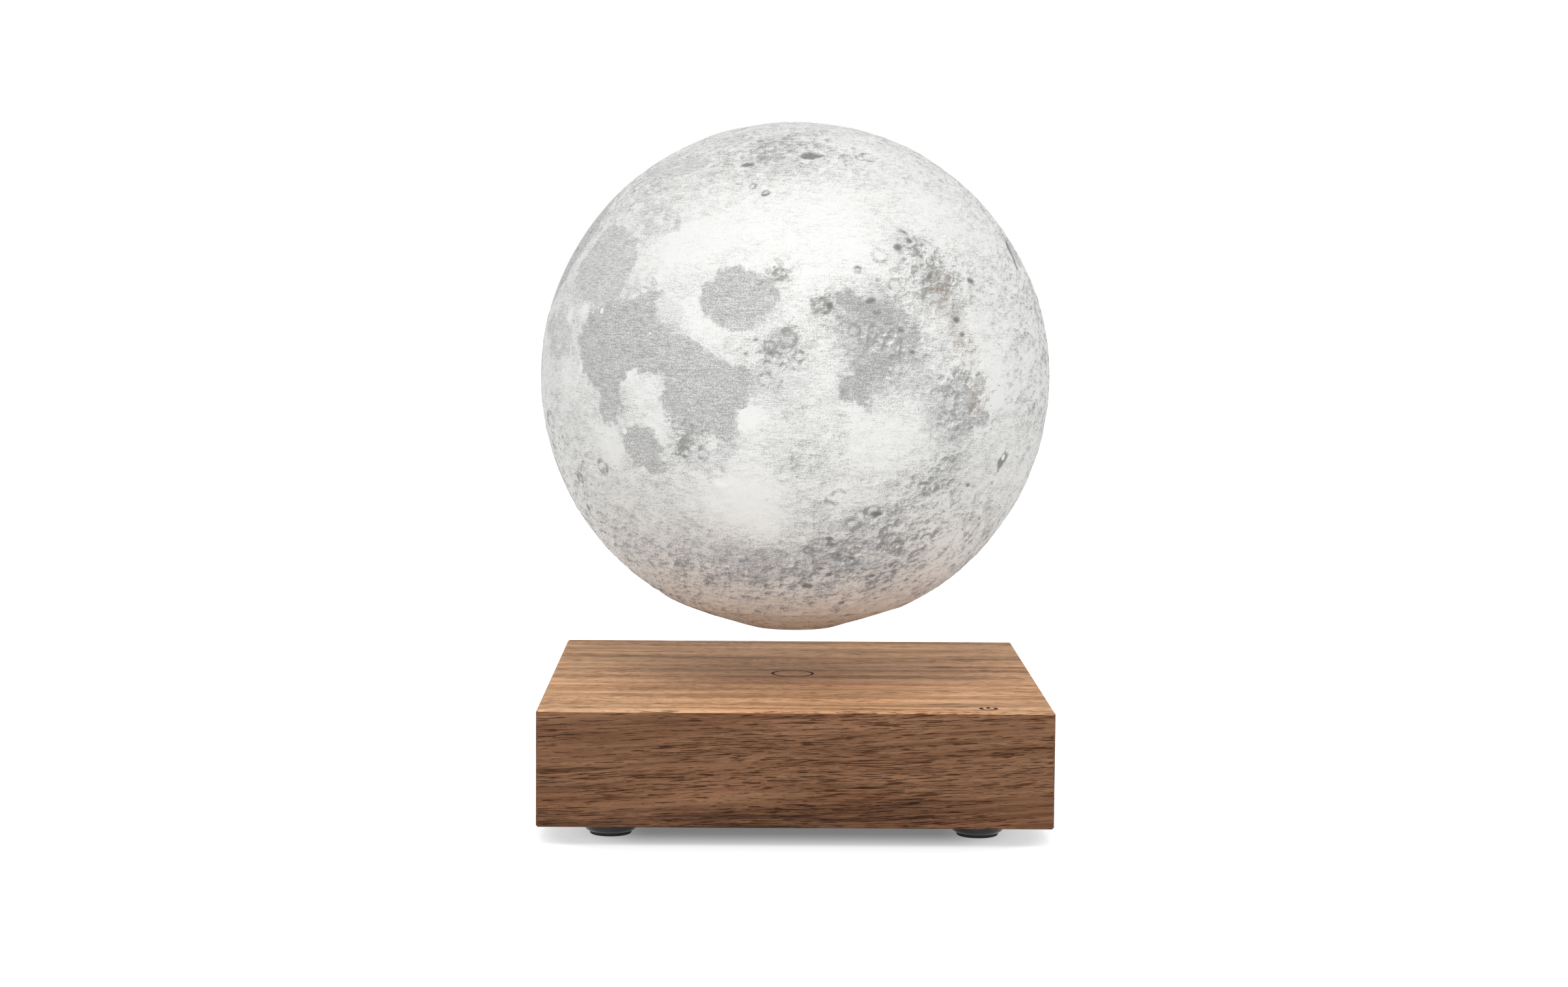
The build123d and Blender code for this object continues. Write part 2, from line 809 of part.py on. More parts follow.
with BuildPart() as power_coil:
    add_flat_coil(
        power_coil_bottom,
        power_coil_inner_radius,
        power_coil_pitch,
        power_coil_strand,
        power_coil_turns,
        power_coil_height,
    )
power_coil.part.label = "power_coil"
export_step(power_coil.part, "parts/power_coil.step")

# Leads of the power coil: over the coil, down beside the tray and in to the board

with BuildPart() as power_coil_leads:
    over_coil = power_coil_top + ceiling_gap / 2
    drop_x = tray_radius + power_lead_drop
    land_x = drop_x - power_lead_run
    inner_start = power_coil_inner_radius + power_coil_strand
    outer_start = power_coil_inner_radius + power_coil_width - power_coil_strand
    for start_x, y in ((inner_start, power_lead_offset), (outer_start, -power_lead_offset)):
        add_lead(
            [
                (start_x, y, over_coil),
                (drop_x, y, over_coil),
                (drop_x, y, board_top + lead_lift),
                (land_x, y, board_top + lead_lift),
                (land_x, y, board_top),
            ],
            power_lead_radius,
        )
power_coil_leads.part.label = "power_coil_leads"
export_step(power_coil_leads.part, "parts/power_coil_leads.step")

# Touch key: a small board against the wood, its chip and its lead

touch_bottom = ceiling - touch_thickness

with BuildPart() as touch_board:
    with BuildSketch(level(touch_bottom, touch_x, touch_y)):
        RectangleRounded(touch_side, touch_side, cutter_radius)
    extrude(amount=touch_thickness)
touch_board.part.label = "touch_board"
export_step(touch_board.part, "parts/touch_board.step")

with BuildPart() as touch_chip:
    with BuildSketch(level(touch_bottom, touch_x + touch_chip_offset, touch_y)):
        Rectangle(touch_chip_side, touch_chip_side)
    extrude(amount=-touch_chip_height)
touch_chip.part.label = "touch_chip"
export_step(touch_chip.part, "parts/touch_chip.step")

with BuildPart() as touch_lead:
    land_x = board_width / 2 - touch_lead_landing
    land_y = -(board_depth / 2 - touch_lead_landing)
    add_lead(
        [
            (land_x, touch_y, touch_bottom),
            (land_x, touch_y, board_top + lead_lift),
            (land_x, land_y, board_top + lead_lift),
            (land_x, land_y, board_top),
        ],
        lead_radius,
    )
touch_lead.part.label = "touch_lead"
export_step(touch_lead.part, "parts/touch_lead.step")

# Globe shell: the sphere with its collar

seam_angle = degrees(acos(seam_radius / globe_radius))
collar_angle = degrees(acos(collar_radius / shell_bore))

with BuildPart() as globe_shell:
    with BuildSketch(upright(0, 0, globe_centre)):
        with BuildLine():
            skin = CenterArc((0, 0), globe_radius, -seam_angle, 90 + seam_angle)
            lining = CenterArc((0, 0), shell_bore, -collar_angle, 90 + collar_angle)
            Line(skin @ 1, lining @ 1)
            Polyline(
                lining @ 0,
                (collar_radius, collar_top - globe_centre),
                (seam_radius, collar_top - globe_centre),
                skin @ 0,
            )
        make_face()
    revolve(axis=Axis.Z)
globe_shell.part.label = "globe_shell"
export_step(globe_shell.part, "parts/globe_shell.step")

# Globe cap: flattened cone outside, spigot and magnet pocket inside

with BuildPart() as globe_cap:
    with BuildSketch(upright()):
        with BuildLine():
            chord_mid = ((spigot_radius + flat_radius) / 2, (seam_height + flat_height) / 2)
            ThreePointArc(
                (flat_radius, flat_height),
                (chord_mid[0] + cap_bulge / 2, chord_mid[1] - cap_bulge),
                (spigot_radius, seam_height),
            )
            Polyline(
                (spigot_radius, seam_height),
                (spigot_radius, seam_height + spigot_height - spigot_lead),
                (spigot_radius - spigot_lead, seam_height + spigot_height),
                (spigot_bore, seam_height + spigot_height),
                (spigot_bore, cap_floor),
                (pocket_radius + pocket_wall, cap_floor),
                (pocket_radius + pocket_wall, keeper_bottom),
                (pocket_radius, keeper_bottom),
                (pocket_radius, pocket_bottom),
                (0, pocket_bottom),
                (0, flat_height),
                (flat_radius, flat_height),
            )
        make_face()
    revolve(axis=Axis.Z)
    with BuildSketch(level(cap_floor)):
        with stack_spots():
            Circle(cap_boss_radius)
        Circle(pocket_radius, mode=Mode.SUBTRACT)
    extrude(amount=keeper_bottom - cap_floor)
    with BuildSketch(level(keeper_bottom)):
        with stack_spots():
            Circle(stud_radius + slip_gap)
    extrude(amount=-stud_length - slip_gap, mode=Mode.SUBTRACT)
globe_cap.part.label = "globe_cap"
export_step(globe_cap.part, "parts/globe_cap.step")

# Floating magnet and the keeper plate over it

with BuildPart() as float_magnet:
    with BuildSketch(level(magnet_bottom)):
        Circle(magnet_radius)
    extrude(amount=magnet_height)
    chamfer(float_magnet.edges().filter_by(GeomType.CIRCLE), magnet_chamfer)
float_magnet.part.label = "float_magnet"
export_step(float_magnet.part, "parts/float_magnet.step")

with BuildPart() as magnet_keeper:
    with BuildSketch(level(keeper_bottom)):
        Circle(keeper_radius)
        with stack_spots():
            Circle(stud_radius + slip_gap, mode=Mode.SUBTRACT)
    extrude(amount=keeper_thickness)
magnet_keeper.part.label = "magnet_keeper"
export_step(magnet_keeper.part, "parts/magnet_keeper.step")

# Pickup coil on the floor of the cap, and its two leads up to the receiver board

pickup_top = cap_floor + pickup_height

with BuildPart() as pickup_coil:
    add_flat_coil(
        cap_floor,
        pickup_inner_radius,
        pickup_pitch,
        pickup_strand,
        pickup_turns,
        pickup_height,
    )
pickup_coil.part.label = "pickup_coil"
export_step(pickup_coil.part, "parts/pickup_coil.step")

with BuildPart() as pickup_leads:
    lead_x = pickup_inner_radius + pickup_strand / 2
    far_x = lead_x + (pickup_turns - 1) * pickup_pitch
    step = far_x - lead_x
    add_lead(
        [
            (lead_x, pickup_lead_offset, pickup_top),
            (lead_x, pickup_lead_offset, receiver_bottom),
        ],
        pickup_lead_radius,
    )
    add_lead(
        [
            (far_x, -pickup_lead_offset, pickup_top),
            (far_x, -pickup_lead_offset, pickup_top + pickup_lead_run),
            (lead_x, -pickup_lead_offset, pickup_top + pickup_lead_run + step),
            (lead_x, -pickup_lead_offset, receiver_bottom),
        ],
        pickup_lead_radius,
    )
pickup_leads.part.label = "pickup_leads"
export_step(pickup_leads.part, "parts/pickup_leads.step")

# Spacers that carry the receiver board, then the lamp board

for name, foot, plate in (
    ("lower_spacers", keeper_top, keeper_thickness),
    ("upper_spacers", receiver_top, receiver_thickness),
):
    with BuildPart() as spacers:
        with BuildSketch(level(foot)):
            with stack_spots():
                Circle(spacer_radius)
        extrude(amount=spacer_height)
        with BuildSketch(level(foot + spacer_height)):
            with stack_spots():
                Circle(stud_radius + slip_gap)
        extrude(amount=-stud_length - slip_gap, mode=Mode.SUBTRACT)
        with BuildSketch(level(foot)):
            with stack_spots():
                Circle(stud_radius)
        extrude(amount=-plate - stud_length)
    spacers.part.label = name
    export_step(spacers.part, f"parts/{name}.step")

# Receiver board with its capacitor, inductor and rectifier

with BuildPart() as receiver_board:
    with BuildSketch(level(receiver_bottom)):
        Circle(receiver_radius)
        with stack_spots():
            Circle(stud_radius + slip_gap, mode=Mode.SUBTRACT)
    extrude(amount=receiver_thickness)
receiver_board.part.label = "receiver_board"
export_step(receiver_board.part, "parts/receiver_board.step")

with BuildPart() as receiver_capacitor:
    with BuildSketch(level(receiver_top, -receiver_capacitor_offset)):
        Circle(receiver_capacitor_radius)
    extrude(amount=spacer_height * receiver_capacitor_share)
receiver_capacitor.part.label = "receiver_capacitor"
export_step(receiver_capacitor.part, "parts/receiver_capacitor.step")

with BuildPart() as receiver_inductor:
    with BuildSketch(level(receiver_top, inductor_offset)) as inductor_outline:
        Rectangle(inductor_side, inductor_side)
        chamfer(inductor_outline.vertices(), inductor_corner)
    extrude(amount=inductor_height)
receiver_inductor.part.label = "receiver_inductor"
export_step(receiver_inductor.part, "parts/receiver_inductor.step")

with BuildPart() as rectifier:
    with BuildSketch(level(receiver_top, 0, rectifier_offset)):
        Rectangle(rectifier_width, rectifier_depth)
    extrude(amount=rectifier_height)
rectifier.part.label = "rectifier"
export_step(rectifier.part, "parts/rectifier.step")

# Lamp board, its light sources, screws and the two leads from below

with BuildPart() as lamp_board:
    with BuildSketch(level(lamp_board_bottom)):
        Circle(lamp_board_radius)
        with stack_spots():
            Circle(stud_radius + slip_gap, mode=Mode.SUBTRACT)
    extrude(amount=lamp_board_thickness)
lamp_board.part.label = "lamp_board"
export_step(lamp_board.part, "parts/lamp_board.step")

with BuildPart() as lamp_chips:
    with BuildSketch(level(lamp_board_top)):
        with PolarLocations(lamp_circle_radius, lamp_count):
            Rectangle(lamp_width, lamp_depth)
        with PolarLocations(inner_lamp_circle_radius, inner_lamp_count):
            Rectangle(lamp_width, lamp_depth)
    extrude(amount=lamp_height)
lamp_chips.part.label = "lamp_chips"
export_step(lamp_chips.part, "parts/lamp_chips.step")

with BuildPart() as stack_screws:
    with BuildSketch(level(lamp_board_top)):
        with stack_spots():
            Circle(stack_screw_head_radius)
    extrude(amount=stack_screw_head_height)
    with BuildSketch(level(lamp_board_top)):
        with stack_spots():
            Circle(stud_radius)
    extrude(amount=-lamp_board_thickness - stud_length)
stack_screws.part.label = "stack_screws"
export_step(stack_screws.part, "parts/stack_screws.step")

with BuildPart() as lamp_leads:
    with BuildSketch(level(receiver_top, 0, -lamp_lead_circle_radius)):
        with GridLocations(lamp_lead_spread, 0, 2, 1):
            Circle(lamp_lead_radius)
    extrude(amount=spacer_height)
lamp_leads.part.label = "lamp_leads"
export_step(lamp_leads.part, "parts/lamp_leads.step")
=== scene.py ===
"""Moon lamp: a printed moon globe that floats above a square walnut base.

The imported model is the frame. The classes below build the pieces that need more form than the
frame gives them, dress every node with its finish, and set the lamp in a plain white studio.
"""

import logging
import math
from abc import ABC, abstractmethod
from collections.abc import Callable
from dataclasses import dataclass, field
from enum import Enum
from itertools import chain, starmap

import bmesh
import bpy
import numpy as np
from mathutils import Matrix, Vector


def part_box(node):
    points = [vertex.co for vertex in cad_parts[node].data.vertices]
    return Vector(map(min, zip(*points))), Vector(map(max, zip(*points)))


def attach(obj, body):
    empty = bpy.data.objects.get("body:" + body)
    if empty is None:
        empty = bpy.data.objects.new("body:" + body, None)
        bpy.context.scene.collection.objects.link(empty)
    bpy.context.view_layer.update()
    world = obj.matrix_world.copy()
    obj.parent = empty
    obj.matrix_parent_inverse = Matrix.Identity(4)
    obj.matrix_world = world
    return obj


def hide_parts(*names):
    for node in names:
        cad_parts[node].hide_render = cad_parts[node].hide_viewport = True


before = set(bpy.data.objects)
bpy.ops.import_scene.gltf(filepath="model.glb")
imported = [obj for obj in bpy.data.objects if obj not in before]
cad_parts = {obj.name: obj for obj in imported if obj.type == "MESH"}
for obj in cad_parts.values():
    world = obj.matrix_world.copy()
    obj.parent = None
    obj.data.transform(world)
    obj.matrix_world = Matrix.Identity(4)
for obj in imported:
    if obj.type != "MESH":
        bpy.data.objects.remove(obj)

log = logging.getLogger("moon_lamp")

MM = 0.001
PER_METRE = 1000.0
FLOAT = "NodeSocketFloat"
VECTOR = "NodeSocketVector"
GEOMETRY = "NodeSocketGeometry"
MATERIAL = "NodeSocketMaterial"
MERGE_DISTANCE = 1e-3 * MM
FADE = "fade"
SHARP_EDGE = math.radians(32.0)

Array = np.ndarray
Pair = tuple[float, float]
Colour = tuple[float, float, float]
Lengths = tuple[float, float, float]
Outline = tuple[Pair, ...]
Piece = bpy.types.Object
Tree = bpy.types.NodeTree
Node = bpy.types.Node
Socket = bpy.types.NodeSocket
Sockets = bpy.types.bpy_prop_collection
Setting = Socket | float | int | bool | str | tuple | bpy.types.ID


class Body(Enum):
    """The bodies that pieces ride on."""

    BASE = "base"
    GLOBE = "globe"


class Nodes:
    """Adds nodes to one tree and links them."""

    def __init__(self, tree: Tree) -> None:
        """Keeps the tree that the nodes go into."""
        self.tree = tree

    def add(
        self, kind: str, inputs: dict[str | int, Setting] | None = None, **settings: Setting
    ) -> Node:
        """Adds a node.

        Args:
            kind: The node's type.
            inputs: What each input socket gets, a value or another node's output.
            settings: The node's own properties.

        Returns:
            The new node.
        """
        node = self.tree.nodes.new(kind)
        for name, setting in settings.items():
            setattr(node, name, setting)
        for name, value in (inputs or {}).items():
            self.feed(node.inputs[name], value)
        return node

    def feed(self, socket: Socket, value: Setting) -> None:
        """Links an output to a socket, or sets the socket's own value.

        Args:
            socket: The socket.
            value: Another node's output or a plain value. A colour may come without its alpha.
        """
        if isinstance(value, Socket):
            self.tree.links.new(value, socket)
        elif socket.type == "RGBA" and len(value) == 3:
            socket.default_value = (*value, 1.0)
        else:
            socket.default_value = value

    def math(self, operation: str, first: Setting, second: Setting = 0.0, third: Setting = 0.0) -> Socket:
        """Returns the output of a Math node."""
        return self.add("ShaderNodeMath", {0: first, 1: second, 2: third}, operation=operation).outputs[0]

    def times(self, first: Setting, second: Setting) -> Socket:
        """Returns the product of two numbers."""
        return self.math("MULTIPLY", first, second)

    def times_plus(self, first: Setting, second: Setting, third: Setting) -> Socket:
        """Returns the product of two numbers plus a third."""
        return self.math("MULTIPLY_ADD", first, second, third)

    def vector(self, operation: str, first: Setting, second: Setting = (0.0, 0.0, 0.0)) -> Socket:
        """Returns the vector that a Vector Math node puts out."""
        return self.add("ShaderNodeVectorMath", {0: first, 1: second}, operation=operation).outputs[0]

    def parts(self, vector: Socket) -> Sockets:
        """Returns the three parts of a vector."""
        return self.add("ShaderNodeSeparateXYZ", {0: vector}).outputs

    def scaled(self, vector: Socket, scale: Setting) -> Socket:
        """Returns a vector times a number."""
        return self.add("ShaderNodeVectorMath", {0: vector, "Scale": scale}, operation="SCALE").outputs[0]

    def length(self, vector: Socket) -> Socket:
        """Returns the length of a vector."""
        return self.add("ShaderNodeVectorMath", {0: vector}, operation="LENGTH").outputs["Value"]

    def span(
        self, value: Setting, low: Setting, high: Setting, to_low: Setting = 0.0, to_high: Setting = 1.0
    ) -> Socket:
        """Maps a value from one range to another, eased at both ends."""
        inputs = {"Value": value, "From Min": low, "From Max": high, "To Min": to_low, "To Max": to_high}
        return self.add("ShaderNodeMapRange", inputs, interpolation_type="SMOOTHSTEP").outputs[0]

    def mix(self, factor: Setting, first: Setting, second: Setting, blend: str = "MIX") -> Socket:
        """Mixes a share of the second colour into the first."""
        inputs = {0: factor, 6: first, 7: second}
        return self.add("ShaderNodeMix", inputs, data_type="RGBA", blend_type=blend).outputs[2]

    def noise(self, place: Socket, stretch: Lengths, detail: float = 2.0, rough: float = 0.5) -> Socket:
        """Returns a noise from 0 to 1.

        Args:
            place: The coordinates in millimetres.
            stretch: The noise's own length along each axis, in millimetres.
            detail: How many finer layers it has.
            rough: How strong the finer layers are.

        Returns:
            The noise's value.
        """
        scaled = self.vector("MULTIPLY", place, tuple(1.0 / length for length in stretch))
        inputs = {"Vector": scaled, "Scale": 1.0, "Detail": detail, "Roughness": rough}
        return self.add("ShaderNodeTexNoise", inputs).outputs[0]

    def ramp(self, value: Socket, stops: list[tuple[float, Colour]]) -> Socket:
        """Returns a colour from a ramp.

        Args:
            value: Where on the ramp.
            stops: The ramp's places and colours.

        Returns:
            The colour.
        """
        node = self.add("ShaderNodeValToRGB", {0: value})
        elements = node.color_ramp.elements
        while len(elements) < len(stops):
            elements.new(1.0)
        for element, (place, colour) in zip(elements, stops):
            element.position = place
            element.color = (*colour, 1.0)
        return node.outputs[0]

    def curve(self, value: Socket, points: Outline) -> Socket:
        """Returns the height of a curve.

        Args:
            value: Where on the curve, from 0 to 1.
            points: The places and heights that the curve runs through.

        Returns:
            The height.
        """
        node = self.add("ShaderNodeFloatCurve", {"Value": value})
        line = node.mapping.curves[0]
        for index, (place, height) in enumerate(points):
            if index < 2:
                line.points[index].location = (place, height)
            else:
                line.points.new(place, height)
        node.mapping.update()
        return node.outputs[0]


def new_group(
    name: str, kind: str, inputs: dict[str, str], outputs: dict[str, str]
) -> tuple[Nodes, Sockets, Sockets]:
    """Starts a node group.

    Args:
        name: The group's name.
        kind: The tree's type.
        inputs: The name and type of each input.
        outputs: The name and type of each output.

    Returns:
        The tree's writer, the outputs of its input node and the inputs of its output node.
    """
    tree = bpy.data.node_groups.new(name, kind)
    for direction, sockets in (("INPUT", inputs), ("OUTPUT", outputs)):
        for label, socket_type in sockets.items():
            tree.interface.new_socket(name=label, in_out=direction, socket_type=socket_type)
    nodes = Nodes(tree)
    return nodes, nodes.add("NodeGroupInput").outputs, nodes.add("NodeGroupOutput").inputs


GROUND_LEVEL = 0.5
CRATER_PROFILE: Outline = (
    (0.0, 0.12), (0.22, 0.13), (0.4, 0.42), (0.5, 0.78), (0.6, 0.6), (0.8, 0.51),
    (1.0, GROUND_LEVEL),
)
CRATER_WALL: Outline = ((0.0, 0.0), (0.35, 0.1), (0.72, 0.9), (0.84, 1.0), (1.0, 0.0))
PLACED_WALL: Outline = ((0.0, 0.1), (0.24, 0.15), (0.38, 0.85), (0.48, 0.8), (0.6, 0.05), (1.0, 0.0))


def scattered(
    nodes: Nodes, place: Socket, cell: float, shift: Lengths, smallest: float, spread: float
) -> tuple[Socket, Socket, Socket]:
    """Scatters craters of different sizes, one to a cell.

    Args:
        nodes: The tree's writer.
        place: The coordinates in millimetres.
        cell: The mean distance of the craters, in millimetres.
        shift: Moves the pattern, in millimetres.
        smallest: The radius of the smallest crater, as a share of the cell.
        spread: How much more the largest one has.

    Returns:
        A number from 0 to 1 that is each crater's own, the distance from its middle as a share of twice
        its radius, and the way from its middle.
    """
    shifted = nodes.vector("ADD", place, shift)
    cells = nodes.add("ShaderNodeTexVoronoi", {"Vector": shifted, "Scale": 1.0 / cell})
    chance = nodes.parts(cells.outputs["Color"])[0]
    reach = nodes.times_plus(chance, spread * 2.0, smallest * 2.0)
    share = nodes.math("MINIMUM", nodes.math("DIVIDE", cells.outputs["Distance"], reach), 1.0)
    return chance, share, nodes.vector("SUBTRACT", shifted, cells.outputs["Position"])


def crater_field(nodes: Nodes, place: Socket, cell: float, seed: float) -> Socket:
    """Returns the height of scattered craters, -1 at their floors and 0 on open ground.

    Args:
        nodes: The tree's writer.
        place: The coordinates in millimetres.
        cell: The mean distance of the craters, in millimetres.
        seed: Shifts the pattern.

    Returns:
        The height.
    """
    shift = (seed * 37.0, seed * 11.0, seed * 53.0)
    chance, share, _ = scattered(nodes, place, cell, shift, smallest=0.16, spread=0.26)
    height = nodes.math("SUBTRACT", nodes.curve(share, CRATER_PROFILE), GROUND_LEVEL)
    return nodes.times(height, nodes.times_plus(chance, 1.2, 0.8))


class Finish(ABC):
    """A surface's material."""

    name: str

    @abstractmethod
    def write(self, nodes: Nodes, place: Socket, shader: Node) -> None:
        """Adds the finish's nodes, on coordinates in millimetres, and feeds the shader."""

    def material(self) -> bpy.types.Material:
        """Makes the finish's material on the first call.

        Returns:
            The material.
        """
        found = bpy.data.materials.get(self.name)
        if found:
            return found
        material = bpy.data.materials.new(self.name)
        material.use_nodes = True
        material.node_tree.nodes.clear()
        nodes = Nodes(material.node_tree)
        shader = nodes.add("ShaderNodeBsdfPrincipled")
        coordinates = nodes.add("ShaderNodeTexCoord").outputs["Object"]
        self.write(nodes, nodes.vector("MULTIPLY", coordinates, (PER_METRE,) * 3), shader)
        nodes.add("ShaderNodeOutputMaterial", {"Surface": shader.outputs[0]})
        return material


def bump(nodes: Nodes, height: Socket, depth: float) -> Socket:
    """Returns the normal of a surface raised by a height from 0 to 1, its depth in millimetres."""
    inputs = {"Height": height, "Distance": depth * MM, "Strength": 1.0}
    return nodes.add("ShaderNodeBump", inputs).outputs[0]


def uneven_surface() -> Tree:
    """Draws the fine unevenness of a moulded, plated, painted or turned surface.

    Returns:
        The shader group, made on the first call.
    """
    name = "uneven surface"
    if name in bpy.data.node_groups:
        return bpy.data.node_groups[name]
    inputs = {"Place": VECTOR, "Grain": VECTOR}
    outputs = {"Blotches": FLOAT, "Height": FLOAT}
    nodes, given, out = new_group(name, "ShaderNodeTree", inputs, outputs)
    place = nodes.vector("DIVIDE", given["Place"], given["Grain"])
    slow = nodes.noise(place, (7.0, 7.0, 7.0), detail=4.0, rough=0.6)
    nodes.feed(out["Blotches"], nodes.span(slow, 0.35, 0.7))
    nodes.feed(out["Height"], nodes.noise(place, (1.0, 1.0, 1.0), detail=3.0, rough=0.6))
    return nodes.tree


@dataclass(frozen=True)
class PlainFinish(Finish):
    """A moulded, plated, painted or turned surface. Its grain and relief are in millimetres."""

    name: str
    colour: Colour
    fleck: Colour
    roughness: float
    metallic: float = 0.0
    coat: float = 0.0
    grain: Lengths = (0.4, 0.4, 0.4)
    relief: float = 0.01
    fleck_share: float = 0.6
    wear: float = 0.09

    def write(self, nodes: Nodes, place: Socket, shader: Node) -> None:
        """Mixes two tones in slow blotches and roughens the surface by a fine grain.

        Args:
            nodes: The tree's writer.
            place: The coordinates in millimetres.
            shader: The shader to feed.
        """
        inputs = {"Place": place, "Grain": self.grain}
        surface = nodes.add("ShaderNodeGroup", inputs, node_tree=uneven_surface()).outputs
        blotches = nodes.times(surface["Blotches"], self.fleck_share)
        smooth, dull = self.roughness - self.wear, self.roughness + self.wear
        nodes.feed(shader.inputs["Base Color"], nodes.mix(blotches, self.colour, self.fleck))
        nodes.feed(shader.inputs["Roughness"], nodes.span(surface["Height"], 0.25, 0.75, smooth, dull))
        nodes.feed(shader.inputs["Metallic"], self.metallic)
        nodes.feed(shader.inputs["Coat Weight"], self.coat)
        nodes.feed(shader.inputs["Normal"], bump(nodes, surface["Height"], self.relief))


@dataclass(frozen=True)
class CopperWinding(Finish):
    """Enamelled copper wire."""

    name: str = "enamelled copper wire"
    wire: Colour = (0.56, 0.2, 0.07)
    # Painted shade colour of the grooves between the turns
    shade: Colour = (0.24, 0.07, 0.02)
    pitch: float = 0.45
    metallic: float = 0.85
    relief: float = 0.12

    def write(self, nodes: Nodes, place: Socket, shader: Node) -> None:
        """Lays fine turns one above the other, with painted shade in the grooves between them.

        Args:
            nodes: The tree's writer.
            place: The coordinates in millimetres.
            shader: The shader to feed.
        """
        height = nodes.parts(place)[2]
        turn = nodes.math("SINE", nodes.times(height, math.tau / self.pitch))
        turns = nodes.times_plus(turn, 0.5, 0.5)
        uneven = nodes.noise(place, (3.0, 3.0, 0.5), 3.0)
        tone = nodes.times(turns, nodes.span(uneven, 0.3, 0.7, 0.7, 1.0))
        # Painted shade: the grooves between turns take the shade colour
        nodes.feed(shader.inputs["Base Color"], nodes.mix(tone, self.shade, self.wire))
        nodes.feed(shader.inputs["Roughness"], nodes.span(uneven, 0.3, 0.7, 0.22, 0.38))
        nodes.feed(shader.inputs["Metallic"], self.metallic)
        nodes.feed(shader.inputs["Normal"], bump(nodes, turns, self.relief))


@dataclass(frozen=True)
class CircuitBoard(Finish):
    """Green solder resist over copper tracks on glass-fibre board."""

    name: str = "circuit board"
    resist: Colour = (0.015, 0.1, 0.045)
    over_copper: Colour = (0.03, 0.17, 0.07)
    track_cell: float = 2.4
    relief: float = 0.03

    def write(self, nodes: Nodes, place: Socket, shader: Node) -> None:
        """Shows the tracks as a lighter green under the resist.

        Args:
            nodes: The tree's writer.
            place: The coordinates in millimetres.
            shader: The shader to feed.
        """
        inputs = {"Vector": place, "Scale": 1.0 / self.track_cell}
        cells = nodes.add("ShaderNodeTexVoronoi", inputs, distance="MANHATTAN", feature="F1")
        tracks = nodes.span(cells.outputs["Distance"], 0.42, 0.48)
        nodes.feed(shader.inputs["Base Color"], nodes.mix(tracks, self.resist, self.over_copper))
        glass = nodes.noise(place, (0.5, 0.5, 0.5), 2.0)
        nodes.feed(shader.inputs["Roughness"], nodes.span(glass, 0.3, 0.7, 0.28, 0.42))
        nodes.feed(shader.inputs["Normal"], bump(nodes, tracks, self.relief))


def walnut_figure() -> Tree:
    """Draws walnut's figure in solid wood, with lengths in millimetres.

    Returns:
        The shader group, made on the first call.
    """
    name = "walnut figure"
    if name in bpy.data.node_groups:
        return bpy.data.node_groups[name]
    ring_width = 7.0
    pore_edge = 0.024
    inputs = {"Place": VECTOR, "Pith Distance": FLOAT, "Slope": FLOAT}
    outputs = {"Tone": FLOAT, "Pores": FLOAT, "Flecks": FLOAT, "Red": FLOAT}
    nodes, given, out = new_group(name, "ShaderNodeTree", inputs, outputs)
    place = given["Place"]
    parts = nodes.parts(place)
    sway = nodes.noise(place, (190.0, 110.0, 42.0))
    swell = nodes.noise(place, (150.0, 46.0, 60.0))
    slope = nodes.times(parts[0], given["Slope"])
    lift = nodes.math("SUBTRACT", nodes.times_plus(sway, 9.0, parts[2]), slope)
    depth = nodes.times_plus(swell, 8.0, parts[1])
    bent = nodes.add("ShaderNodeCombineXYZ", {0: parts[0], 1: depth, 2: lift}).outputs[0]

    # Growth rings lie round a pith behind the block; bands and fibres run along it
    from_pith = nodes.math("SUBTRACT", depth, given["Pith Distance"])
    across = nodes.add("ShaderNodeCombineXYZ", {0: 0.0, 1: from_pith, 2: lift}).outputs[0]
    ring_place = nodes.length(across)
    ring_inputs = {
        "W": nodes.times(ring_place, 1.0 / ring_width),
        "Scale": 1.0,
        "Detail": 4.0,
        "Roughness": 0.55,
    }
    rings = nodes.add("ShaderNodeTexNoise", ring_inputs, noise_dimensions="1D").outputs[0]
    bands = nodes.noise(bent, (150.0, 13.0, 6.5), detail=3.0, rough=0.55)
    fibres = nodes.noise(bent, (42.0, 1.1, 1.1), detail=4.0, rough=0.65)
    tone = nodes.times_plus(rings, 1.2, -1.45)
    tone = nodes.times_plus(bands, 1.3, tone)
    nodes.feed(out["Tone"], nodes.times_plus(fibres, 1.4, tone))

    # Open pores crowd together in places, long ones and short ones
    crowd = nodes.noise(bent, (38.0, 7.0, 7.0))
    limit = nodes.span(crowd, 0.35, 0.65, 0.635, 0.56)
    strokes = nodes.noise(bent, (8.0, 0.28, 0.28), detail=1.5)
    short_strokes = nodes.noise(bent, (3.8, 0.19, 0.19), detail=1.0)
    long_pores = nodes.span(strokes, limit, nodes.math("ADD", limit, pore_edge))
    short_limit = nodes.math("ADD", limit, 0.045)
    short_pores = nodes.span(short_strokes, short_limit, nodes.math("ADD", short_limit, pore_edge))
    nodes.feed(out["Pores"], nodes.math("MAXIMUM", long_pores, nodes.times(short_pores, 0.6)))
    # Painted glints: short bright strokes along the fibres, a little apart from the pores
    raised = nodes.vector("ADD", bent, (1.2, 0.3, 0.34))
    glint_strokes = nodes.noise(raised, (3.8, 0.24, 0.24), detail=1.0)
    nodes.feed(out["Flecks"], nodes.span(glint_strokes, 0.62, 0.7))
    nodes.feed(out["Red"], nodes.span(nodes.noise(bent, (45.0, 12.0, 6.0)), 0.45, 0.7))
    return nodes.tree


